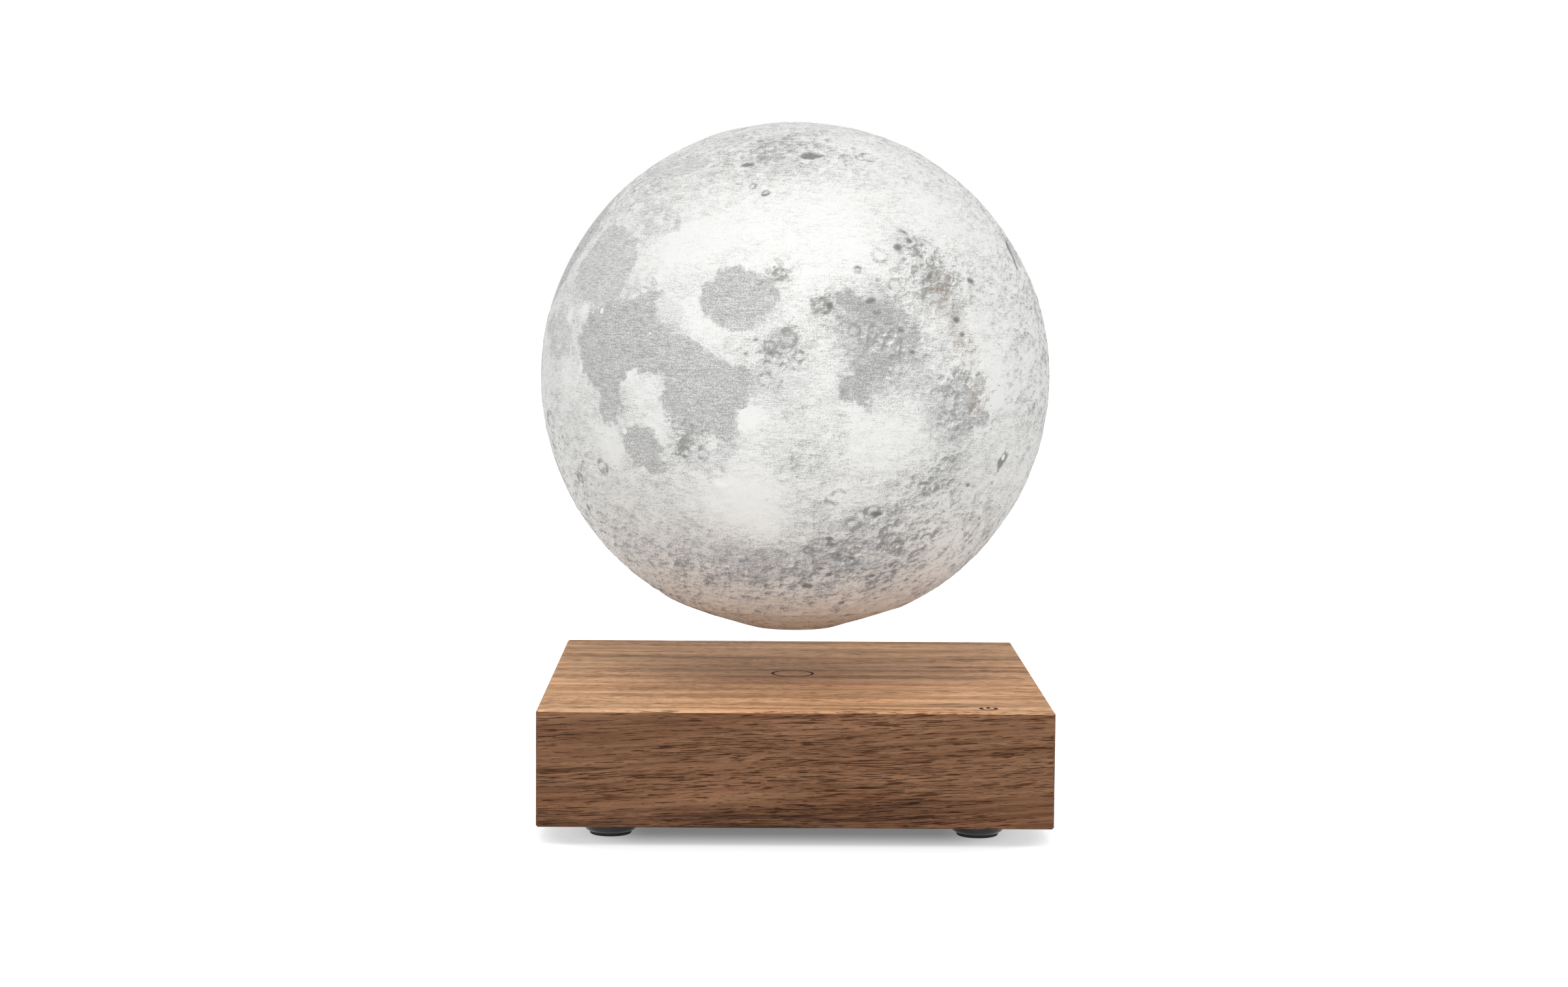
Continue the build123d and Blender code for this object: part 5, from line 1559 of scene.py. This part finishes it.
@dataclass
class MoonGlobe:
    """The printed globe: an upper and a lower half of its shell, and the cap that closes it."""

    spacing: float = 0.67 * MM
    cap_spacing: float = 0.6 * MM
    crater_depth: float = 0.3 * MM
    roughness: float = 0.6 * MM
    unevenness: float = 1.1 * MM
    flat_radius: float = 13.0 * MM
    flat_fade: float = 5.2 * MM
    cap_radius: float = 33.8 * MM
    cap_bulge: float = 0.2 * MM
    cap_relief: float = 0.7
    skin_depth: float = 0.4 * MM
    seam_fade: float = 2.0 * MM
    seam_reach: float = 1.2 * MM
    no_spot: float = -9.0
    chart: MoonChart = field(default_factory=MoonChart)

    def __post_init__(self) -> None:
        """Reads the globe's size and place from the frame, as a sphere cut flat at the bottom."""
        low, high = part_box("globe_shell")
        self.seam_height = low.z
        self.cap_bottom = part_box("globe_cap")[0].z
        height = high.z - self.cap_bottom
        self.radius = (height**2 + self.flat_radius**2) / (2.0 * height)
        self.centre = Vector((0.0, 0.0, high.z - self.radius))
        self.seam_radius = math.sqrt(self.radius**2 - (self.centre.z - self.seam_height) ** 2)
        self.relief = relief_tree()

    def directions(self, points: Array) -> Array:
        """Returns the way from the globe's centre to each point."""
        offsets = points - np.array(self.centre)
        return offsets / np.linalg.norm(offsets, axis=1, keepdims=True)

    def pressed(self, name: str, rings: RingSkin, fade: Array) -> PressedSkin:
        """Presses the relief into a skin.

        Args:
            name: A name for the work.
            rings: The smooth skin.
            fade: How much of the relief each point takes.

        Returns:
            The skin with its relief.
        """
        points = np.concatenate(rings.points)
        blank = mesh_object(name, points, rings.triangles(0, len(rings.points) - 1))
        fields = self.chart.fields(self.directions(points))
        fields = {key.value: values for key, values in fields.items()}
        for key, values in {**fields, FADE: fade}.items():
            layer = blank.data.attributes.new(key, "FLOAT", "POINT")
            layer.data.foreach_set("value", values.astype(np.float32))
        values = {
            "Centre Height": self.centre.z,
            "Radius": self.radius,
            "Crater Depth": self.crater_depth,
            "Roughness": self.roughness,
            "Unevenness": self.unevenness,
            "Material": FINISHES["moon_print"].material(),
        }
        grow(blank, self.relief, values)
        pressed = np.empty((len(points), 3), np.float32)
        normals = np.empty((len(points), 3), np.float32)
        blank.data.vertices.foreach_get("co", pressed.ravel())
        blank.data.vertex_normals.foreach_get("vector", normals.ravel())
        bpy.data.objects.remove(blank)
        return PressedSkin(rings, pressed.astype(float), normals.astype(float), fields)

    def closed(
        self, name: str, skin: PressedSkin, rows: tuple[int, int], back: bmesh.types.BMesh
    ) -> Piece:
        """Closes part of a pressed skin with the frame's own inner surface.

        Args:
            name: The piece's name.
            skin: The skin.
            rows: The first and last ring that the piece has.
            back: The inner surface, whose open edges face the skin's.

        Returns:
            The piece.
        """
        rings = skin.rings
        first, last = rows
        start = rings.starts[first]
        stop = rings.starts[last] + len(rings.points[last])
        back.verts.index_update()
        inner = np.array([vert.co for vert in back.verts])
        corners = np.array([[vert.index for vert in face.verts] for face in back.faces])
        edge = sorted({vert.index for edge in back.edges if edge.is_boundary for vert in edge.verts})
        parts = [rings.triangles(first, last) - start, corners + stop - start]
        for row, upward in ((first, True), (last, False)):
            if len(rings.points[row]) > 1:
                parts.append(self.bridge(rings, row, upward, inner, edge, start, stop))
        obj = mesh_object(name, np.concatenate([skin.points[start:stop], inner]), np.concatenate(parts))
        facing = -self.directions(inner)
        facing[edge] *= -1.0
        for key, values in skin.fields.items():
            layer = obj.data.attributes.new(key, "FLOAT", "POINT")
            plain = np.full(len(inner), self.no_spot if key == MoonField.SPOT.value else 0.0)
            joined = np.concatenate([values[start:stop], plain])
            layer.data.foreach_set("value", joined.astype(np.float32))
        obj.data.shade_smooth()
        normals = np.concatenate([skin.normals[start:stop], facing])
        obj.data.normals_split_custom_set_from_vertices(normals.tolist())
        return obj

    def bridge(
        self,
        rings: RingSkin,
        row: int,
        upward: bool,
        inner: Array,
        edge: list[int],
        start: int,
        stop: int,
    ) -> Array:
        """Joins a ring of the skin to the open edge of the inner surface at about its height.

        Args:
            rings: The rings of the skin.
            row: The ring.
            upward: Whether the bridge lies above the skin.
            inner: The inner surface's points.
            edge: Which of them lie on an open edge.
            start: The index of the first point of the skin's part.
            stop: The index after its last point.

        Returns:
            The triangles.
        """
        height = rings.points[row][0, 2]
        loop = np.array([index for index in edge if abs(inner[index, 2] - height) < self.seam_reach])
        turns = np.arctan2(inner[loop, 1], inner[loop, 0]) % math.tau
        order = np.argsort(turns)
        angles = rings.angles[row]
        if upward:
            local = stitch(turns[order], angles, 0, len(loop))
        else:
            local = stitch(angles, turns[order], len(loop), 0)
        ring = rings.starts[row] - start + np.arange(len(angles))
        return np.concatenate([loop[order] + stop - start, ring])[local]

    def inner_surface(self, node: str, on_skin: Callable[[Vector], bool]) -> bmesh.types.BMesh:
        """Takes the skin off a copy of a frame node's mesh.

        Args:
            node: The node.
            on_skin: Says of a point whether it lies on the skin.

        Returns:
            The rest of the mesh.
        """
        shape = bmesh.new()
        shape.from_mesh(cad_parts[node].data)
        bmesh.ops.remove_doubles(shape, verts=shape.verts, dist=MERGE_DISTANCE)
        skin = [face for face in shape.faces if all(on_skin(vert.co) for vert in face.verts)]
        bmesh.ops.delete(shape, geom=skin, context="FACES")
        return shape

    def build_shell(self) -> None:
        """Builds the two halves of the shell, which meet at the globe's middle."""
        rings = RingSkin(self.spacing)
        row_height = self.spacing * math.sqrt(3.0) / 2.0
        quarter = math.pi / 2.0
        below = math.acos(self.seam_radius / self.radius)
        upper_rows = round(quarter * self.radius / row_height)
        lower_rows = round(below * self.radius / row_height)
        turns = [quarter * row / upper_rows for row in range(upper_rows + 1)]
        turns += [quarter + below * row / lower_rows for row in range(1, lower_rows)]
        for turn in turns:
            rings.add(self.radius * math.sin(turn), self.centre.z + self.radius * math.cos(turn))
        heights = np.concatenate(rings.points)[:, 2]
        fade = np.clip((heights - self.seam_height) / self.seam_fade, 0.0, 1.0)
        skin = self.pressed("shell_skin", rings, fade)

        def on_skin(point: Vector) -> bool:
            """Says whether a point lies on the outside of the shell."""
            return (point - self.centre).length > self.radius - self.skin_depth

        for name, rows, drop in (
            ("moon_upper_half", (0, upper_rows), -1.0),
            ("moon_lower_half", (upper_rows, len(rings.points) - 1), 1.0),
        ):
            back = self.inner_surface("globe_shell", on_skin)
            geometry = [*back.verts, *back.edges, *back.faces]
            cut = {"plane_co": self.centre, "plane_no": (0.0, 0.0, drop)}
            bmesh.ops.bisect_plane(back, geom=geometry, clear_outer=True, **cut)
            bmesh.ops.triangulate(back, faces=back.faces)
            half = self.closed(name, skin, rows, back)
            back.free()
            finished(half, Body.GLOBE, "moon_print", ("globe_shell",))

    def cap_height(self, radius: float) -> float:
        """Finds the height of the cap's underside, a slightly hollow cone round a flat.

        Args:
            radius: The distance from the globe's axis.

        Returns:
            The height.
        """
        if radius <= self.flat_radius:
            return self.cap_bottom
        share = (radius - self.flat_radius) / (self.cap_radius - self.flat_radius)
        rise = (self.seam_height - self.cap_bottom) * share
        return self.cap_bottom + rise - 4.0 * self.cap_bulge * share * (1.0 - share)

    def build_cap(self) -> None:
        """Builds the cap, a flattened cone with a finely pressed underside."""
        rings = RingSkin(self.cap_spacing)
        rows = round(self.cap_radius / (self.cap_spacing * math.sqrt(3.0) / 2.0))
        for row in range(1, rows):
            radius = self.cap_radius * (1.0 - row / rows)
            rings.add(radius, self.cap_height(radius))
        rings.add(0.0, self.cap_bottom)
        points = np.concatenate(rings.points)
        radii = np.hypot(points[:, 0], points[:, 1])
        rim = np.clip((self.cap_radius - radii) / self.seam_fade, 0.0, 1.0)
        flat = np.clip((radii - self.flat_radius) / self.flat_fade, 0.0, 1.0)
        skin = self.pressed("cap_skin", rings, rim * flat * self.cap_relief)

        def on_skin(point: Vector) -> bool:
            """Says whether a point lies on the cap's underside."""
            return point.z < self.cap_height(math.hypot(point.x, point.y)) + self.skin_depth

        back = self.inner_surface("globe_cap", on_skin)
        bmesh.ops.triangulate(back, faces=back.faces)
        cap = self.closed("moon_cap", skin, (0, len(rings.points) - 1), back)
        back.free()
        finished(cap, Body.GLOBE, "moon_print", ("globe_cap",))

    def build(self) -> None:
        """Builds the shell and the cap."""
        self.build_shell()
        self.build_cap()


def corner_pattern() -> Tree:
    """Builds the Geometry Nodes that set a copy of a mesh at each corner of a rectangle.

    Returns:
        The node tree, made on the first call.
    """
    name = "corner pattern"
    if name in bpy.data.node_groups:
        return bpy.data.node_groups[name]
    inputs = {"Geometry": GEOMETRY, "Spacing X": FLOAT, "Spacing Y": FLOAT, "Material": MATERIAL}
    nodes, given, out = new_group(name, "GeometryNodeTree", inputs, {"Geometry": GEOMETRY})
    sizes = {
        "Size X": given["Spacing X"], "Size Y": given["Spacing Y"], "Vertices X": 2, "Vertices Y": 2,
    }
    corners = nodes.add("GeometryNodeMeshGrid", sizes).outputs[0]
    inputs = {"Points": corners, "Instance": given["Geometry"]}
    copies = nodes.add("GeometryNodeInstanceOnPoints", inputs).outputs[0]
    real = nodes.add("GeometryNodeRealizeInstances", {0: copies}).outputs[0]
    dressed = nodes.add("GeometryNodeSetMaterial", {0: real, "Material": given["Material"]}).outputs[0]
    nodes.feed(out["Geometry"], dressed)
    return nodes.tree


def at_corners(obj: Piece, spacing: Pair, finish: Finish) -> None:
    """Repeats an object's mesh at the corners of a rectangle of two spacings round the axis."""
    values = {"Spacing X": spacing[0], "Spacing Y": spacing[1], "Material": finish.material()}
    grow(obj, corner_pattern(), values)


def turned(name: str, outline: list[Pair], segments: int = 72) -> Piece:
    """Turns an outline round the upright axis, smooth but for its sharp edges.

    Args:
        name: The object's name.
        outline: The radius and height of each corner. It closes on itself, or ends on the axis.
        segments: How many steps the turn has.

    Returns:
        The object.
    """
    shape = bmesh.new()
    rings = []
    for radius, height in outline:
        ring = []
        for step in range(segments if radius > 0.0 else 1):
            turn = math.tau * step / segments
            ring.append(shape.verts.new((radius * math.cos(turn), radius * math.sin(turn), height)))
        rings.append(ring)
    pairs = list(zip(rings, rings[1:]))
    if len(rings[0]) > 1:
        pairs.append((rings[-1], rings[0]))
    for near, far in pairs:
        for step in range(segments):
            after = (step + 1) % segments
            corners = [near[step % len(near)], near[after % len(near)]]
            corners += [far[after % len(far)], far[step % len(far)]]
            shape.faces.new(list(dict.fromkeys(corners)))
    bmesh.ops.recalc_face_normals(shape, faces=shape.faces)
    obj = link(name, bpy.data.meshes.new(name))
    shape.to_mesh(obj.data)
    shape.free()
    obj.data.shade_smooth()
    obj.data.set_sharp_from_angle(angle=SHARP_EDGE)
    return obj


def carve(obj: Piece, cutter: Piece) -> None:
    """Cuts one object's shape out of another.

    Args:
        obj: The object.
        cutter: The shape to cut, which is removed.
    """
    modifier = obj.modifiers.new(cutter.name, "BOOLEAN")
    modifier.operation = "DIFFERENCE"
    modifier.object = cutter
    carved = evaluated(obj)
    obj.modifiers.clear()
    obj.data = carved
    bpy.data.objects.remove(cutter)


@dataclass
class Underside:
    """What holds the base up and together: the feet and the screws of the bottom cover."""

    pad_radius: float = 6.0 * MM
    pad_height: float = 2.1 * MM
    pad_rounding: float = 0.5 * MM
    groove_radii: tuple[float, ...] = (2.2 * MM, 3.6 * MM, 5.0 * MM)
    groove_width: float = 0.5 * MM
    groove_depth: float = 0.35 * MM
    screw_head: float = 2.8 * MM
    recess_reach: float = 1.5 * MM
    recess_width: float = 0.62 * MM
    recess_depth: float = 1.3 * MM
    recess_taper: float = 0.55
    rim_steps: int = 6

    def build_pads(self) -> None:
        """Builds the rubber pads, with rounded rims and grooves in their soles."""
        outline = [(0.0, 0.0)]
        for radius in self.groove_radii:
            near, far = radius - self.groove_width / 2.0, radius + self.groove_width / 2.0
            outline += [(near, 0.0), (near, self.groove_depth), (far, self.groove_depth), (far, 0.0)]
        for step in range(self.rim_steps + 1):
            turn = math.pi / 2.0 * step / self.rim_steps
            reach = self.pad_radius - self.pad_rounding * (1.0 - math.sin(turn))
            outline.append((reach, self.pad_rounding * (1.0 - math.cos(turn))))
        outline += [(self.pad_radius, self.pad_height), (0.0, self.pad_height)]
        pads = turned("foot_pads", outline)
        names = tuple(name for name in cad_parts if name.startswith("foot_pad_"))
        low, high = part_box(names[0])
        middle = (low + high) / 2.0
        at_corners(pads, (abs(middle.x) * 2.0, abs(middle.y) * 2.0), FINISHES["foot_rubber"])
        finished(pads, Body.BASE, "foot_rubber", names)

    def cross_cutter(self, bottom: float) -> Piece:
        """Makes the tapered cross that cuts the recess of a screw.

        Args:
            bottom: The height of the screw's face.

        Returns:
            The cutter, on the base's axis.
        """
        wide, thin = self.recess_reach, self.recess_width / 2.0
        points = []
        for rise, scale in ((-self.recess_depth, 1.0), (self.recess_depth, self.recess_taper)):
            for cosine, sine in ((1, 0), (0, 1), (-1, 0), (0, -1)):
                for x, y in ((wide, thin), (thin, thin), (thin, wide)):
                    across, along = x * cosine - y * sine, x * sine + y * cosine
                    points.append((across * scale, along * scale, bottom + rise))
        count = len(points) // 2
        faces = [tuple(reversed(range(count))), tuple(range(count, 2 * count))]
        for step in range(count):
            after = (step + 1) % count
            faces.append((step, after, after + count, step + count))
        cutter = mesh_object("cross_cutter", points, faces)
        face_outwards(cutter)
        return cutter

    def build_screws(self) -> None:
        """Builds the cover's screws, with a cross recess in each head."""
        screws = merged_copy("cover_screws", "cover_screws_recessed")
        low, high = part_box("cover_screws")
        cutter = self.cross_cutter(low.z)
        spacing = (2.0 * (high.x - self.screw_head), 2.0 * (high.y - self.screw_head))
        at_corners(cutter, spacing, FINISHES["black_screws"])
        carve(screws, cutter)
        finished(screws, Body.BASE, "black_screws", ("cover_screws",))

    def build(self) -> None:
        """Builds the pads and the screws."""
        self.build_pads()
        self.build_screws()


@dataclass
class PowerInlet:
    """The barrel jack in the rear wall."""

    flange_radius: float = 5.5 * MM
    flange_thickness: float = 1.3 * MM
    body_radius: float = 4.0 * MM
    bore_radius: float = 2.85 * MM
    bore_depth: float = 9.5 * MM
    tail_hole: float = 0.8 * MM
    edge: float = 0.3 * MM
    mouth: float = 0.45 * MM
    ring_radius: float = 4.3 * MM
    ring_depth: float = 0.18 * MM

    def build(self) -> None:
        """Builds the jack's housing, with an eased flange, a ring groove and a flared mouth."""
        low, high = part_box("dc_jack")
        back = high.y - low.y
        half = self.edge / 2.0
        outline = [
            (self.bore_radius, -self.mouth), (self.bore_radius + self.mouth, 0.0),
            (self.ring_radius - half, 0.0), (self.ring_radius - half, -self.ring_depth),
            (self.ring_radius + half, -self.ring_depth), (self.ring_radius + half, 0.0),
            (self.flange_radius - self.edge, 0.0), (self.flange_radius, -self.edge),
            (self.flange_radius, -self.flange_thickness), (self.body_radius, -self.flange_thickness),
            (self.body_radius, -back), (self.tail_hole, -back),
            (self.tail_hole, -self.bore_depth), (self.bore_radius, -self.bore_depth),
        ]
        jack = turned("jack_housing", outline)
        middle = (low + high) / 2.0
        turn = Matrix.Rotation(-math.pi / 2.0, 4, "X")
        jack.data.transform(Matrix.Translation((middle.x, high.y, middle.z)) @ turn)
        finished(jack, Body.BASE, "jack_body", ("dc_jack",))


@dataclass
class WalnutCasing:
    """The walnut block with its burnt ring and power mark."""

    mark_depth: float = 0.22 * MM
    ring_radius: float = 6.1 * MM
    ring_stroke: float = 0.8 * MM
    power_centre: Pair = (54.3 * MM, -65.3 * MM)
    power_radius: float = 2.2 * MM
    power_stroke: float = 1.0 * MM
    power_gap: float = 84.0
    bar_length: float = 2.7 * MM
    segments: int = 128
    burnt: BurntWood = field(default_factory=BurntWood)

    def add_materials(self, obj: Piece) -> None:
        """Gives an object the walnut's material, then the burnt mark's."""
        for finish in (FINISHES["walnut"], self.burnt):
            obj.data.materials.append(finish.material())

    def cut_ring(
        self, name: str, centre: Pair, radius: float, stroke: float, gap: float = 0.0
    ) -> None:
        """Cuts a ring, or a ring with a gap at the back, into the top of the block.

        Args:
            name: A name for the cutter.
            centre: The ring's centre.
            radius: The radius at the middle of the stroke.
            stroke: The width of the stroke.
            gap: The opening at the back, in degrees.
        """
        closed = gap == 0.0
        start = math.radians(90.0 + gap / 2.0)
        sweep = math.radians(360.0 - gap)
        corners = []
        for step in range(self.segments if closed else self.segments + 1):
            turn = start + sweep * step / self.segments
            for reach in (radius - stroke / 2.0, radius + stroke / 2.0):
                corners.append((centre[0] + reach * math.cos(turn), centre[1] + reach * math.sin(turn)))
        self.cut_strip(name, corners, closed)

    def cut_strip(self, name: str, corners: list[Pair], closed: bool) -> None:
        """Cuts a strip of corner pairs into the top of the block.

        Args:
            name: A name for the cutter.
            corners: The strip's corners, inner and outer in turn.
            closed: Whether the strip's ends meet.
        """
        heights = (self.top - self.mark_depth, self.top + self.mark_depth)
        points = [(x, y, z) for z in heights for x, y in corners]
        size = len(corners)
        faces = []
        for near in range(0, size if closed else size - 2, 2):
            far = (near + 2) % size
            a, b, c, d = near, near + 1, far + 1, far
            faces += [(a, b, c, d), (a + size, d + size, c + size, b + size)]
            faces += [(a, d, d + size, a + size), (b, b + size, c + size, c)]
        if not closed:
            faces += [(0, size, size + 1, 1), (size - 2, size - 1, 2 * size - 1, 2 * size - 2)]
        cutter = mesh_object(name, points, faces)
        face_outwards(cutter)
        self.add_materials(cutter)
        cutter.data.polygons.foreach_set("material_index", [1] * len(cutter.data.polygons))
        carve(self.block, cutter)

    def build(self) -> None:
        """Builds the block and burns its marks into it."""
        self.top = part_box("wood_casing")[1].z
        self.block = merged_copy("wood_casing", "walnut_block")
        self.block.data.materials.clear()
        self.add_materials(self.block)
        self.cut_ring("ring_cutter", (0.0, 0.0), self.ring_radius, self.ring_stroke)
        self.cut_ring(
            "power_cutter", self.power_centre, self.power_radius, self.power_stroke, self.power_gap
        )
        x, y = self.power_centre
        half = self.power_stroke / 2.0
        back = y + self.power_radius + half
        front = back - self.bar_length
        bar = [(x - half, front), (x + half, front), (x - half, back), (x + half, back)]
        self.cut_strip("bar_cutter", bar, closed=False)
        hand_over(self.block, Body.BASE, ("wood_casing",))


def dress_frame() -> None:
    """Gives every node of the frame the finish of its material slot."""
    for name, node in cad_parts.items():
        for material_slot in node.material_slots:
            finish = FINISHES[material_slot.name]
            material_slot.material = finish.material()
            log.info("%s: %s", name, finish.name)


@dataclass(frozen=True)
class SoftLight:
    """A square soft light, its place and side in metres and its power in watts."""

    name: str
    place: Lengths
    side: float
    power: float


@dataclass
class Studio:
    """A white floor and backdrop under soft light, and the camera. Its angles are in degrees."""

    camera_place: Lengths = (-0.013, -0.891, 0.1708)
    pitch: float = 4.975
    yaw: float = 0.643
    roll: float = 0.423
    lens: float = 68.12
    sensor: float = 36.0
    floor_side: float = 12.0
    floor_colour: Colour = (0.9, 0.9, 0.9)
    seen_floor: Colour = (0.55, 0.55, 0.55)
    painted_shadow_glow: float = 0.185
    painted_shadow_edge_glow: float = 0.58
    painted_shadow_inset: Pair = (0.032, 0.0225)
    painted_shadow_reach: float = 0.026
    fade_out: float = 0.045
    world_light: float = 0.6
    aim: Lengths = (0.0, 0.0, 0.08)
    lights: tuple[SoftLight, ...] = (
        SoftLight("overhead", (0.0, -0.72, 1.1), 0.55, 5.6),
        SoftLight("left", (-0.9, -0.9, 0.1), 0.8, 2.9),
        SoftLight("right", (0.9, -0.9, 0.1), 0.8, 2.9),
    )

    def build_camera(self) -> None:
        """Sets the camera at the photograph's angle."""
        data = bpy.data.cameras.new("camera")
        data.sensor_width = self.sensor
        data.lens = self.lens
        data.clip_start = 10.0 * MM
        camera = link("camera", data)
        pitch, yaw, roll = (math.radians(angle) for angle in (self.pitch, self.yaw, self.roll))
        sine, cosine = math.sin(yaw), math.cos(yaw)
        forward = Vector((sine * math.cos(pitch), cosine * math.cos(pitch), -math.sin(pitch)))
        right = Vector((cosine, -sine, 0.0))
        up = right.cross(forward)
        turned_right = right * math.cos(roll) + up * math.sin(roll)
        turned_up = up * math.cos(roll) - right * math.sin(roll)
        axes = Matrix((turned_right, turned_up, -forward)).transposed()
        camera.matrix_world = Matrix.Translation(self.camera_place) @ axes.to_4x4()
        bpy.context.scene.camera = camera

    def is_seen(self, nodes: Nodes) -> Socket:
        """Tells the rays that show the surroundings from those that only light.

        Args:
            nodes: The tree's writer.

        Returns:
            1 for the rays of the camera, mirrors and glass.
        """
        path = nodes.add("ShaderNodeLightPath").outputs
        mirrored = nodes.math("MAXIMUM", path["Is Glossy Ray"], path["Is Transmission Ray"])
        return nodes.math("MAXIMUM", path["Is Camera Ray"], mirrored)

    def build_floor(self) -> None:
        """Lays the white floor: its real shadow shows close round the base, partly a painted shadow where
        the floor's glow is weaker over and near the base's outline, and it is bare white beyond.
        """
        half = self.floor_side / 2.0
        corners = [(-half, -half, 0.0), (half, -half, 0.0), (half, half, 0.0), (-half, half, 0.0)]
        floor = mesh_object("studio_floor", corners, [(0, 1, 2, 3)])
        material = bpy.data.materials.new("studio floor")
        material.use_nodes = True
        material.node_tree.nodes.clear()
        nodes = Nodes(material.node_tree)
        plain = nodes.add("ShaderNodeBsdfDiffuse", {"Color": self.floor_colour}).outputs[0]
        seen = nodes.add("ShaderNodeBsdfDiffuse", {"Color": self.seen_floor}).outputs[0]
        place = nodes.add("ShaderNodeTexCoord").outputs["Object"]
        # Painted shadow: the glow is weakest under the base and grows outside its outline, darkening the
        # floor there on top of the real shadow
        half_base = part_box("wood_casing")[1].x
        inner = (half_base - self.painted_shadow_inset[0], half_base - self.painted_shadow_inset[1], 0.0)
        beyond = nodes.vector("SUBTRACT", nodes.vector("ABSOLUTE", place), inner)
        outside = nodes.vector("MAXIMUM", beyond)
        distance = nodes.length(outside)
        near = nodes.span(distance, 0.0, self.painted_shadow_reach, self.painted_shadow_glow, self.painted_shadow_edge_glow)
        far = nodes.span(distance, self.painted_shadow_reach, self.fade_out, 0.0, 1.0 - self.painted_shadow_edge_glow)
        strength = nodes.math("ADD", near, far)
        lift = nodes.add("ShaderNodeEmission", {"Strength": strength}).outputs[0]
        lifted = nodes.add("ShaderNodeAddShader", {0: seen, 1: lift}).outputs[0]
        mixed = nodes.add("ShaderNodeMixShader", {0: self.is_seen(nodes), 1: plain, 2: lifted})
        nodes.add("ShaderNodeOutputMaterial", {"Surface": mixed.outputs[0]})
        floor.data.materials.append(material)

    def build_light(self) -> None:
        """Lights the lamp softly from all round, a little more from above and in front."""
        world = bpy.data.worlds.new("studio")
        world.use_nodes = True
        world.node_tree.nodes.clear()
        nodes = Nodes(world.node_tree)
        seen = self.is_seen(nodes)
        strength = nodes.times_plus(seen, 1.0 - self.world_light, self.world_light)
        background = nodes.add("ShaderNodeBackground", {"Color": (1.0, 1.0, 1.0), "Strength": strength})
        nodes.add("ShaderNodeOutputWorld", {"Surface": background.outputs[0]})
        bpy.context.scene.world = world
        bpy.context.scene.view_settings.view_transform = "Standard"
        for light in self.lights:
            data = bpy.data.lights.new(light.name, "AREA")
            data.size = light.side
            data.energy = light.power
            hung = link(light.name, data)
            aim = Vector(self.aim) - Vector(light.place)
            hung.rotation_euler = aim.to_track_quat("-Z", "Y").to_euler()
            hung.location = light.place

    def build(self) -> None:
        """Sets up the camera, the floor and the light."""
        self.build_camera()
        self.build_floor()
        self.build_light()


def main() -> None:
    """Builds the lamp in the order of its sub-assemblies."""
    logging.basicConfig(level=logging.INFO, format="%(name)s: %(message)s")
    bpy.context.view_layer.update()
    Studio().build()
    dress_frame()
    WalnutCasing().build()
    Underside().build()
    PowerInlet().build()
    MoonGlobe().build()


if __name__ == "__main__":
    main()
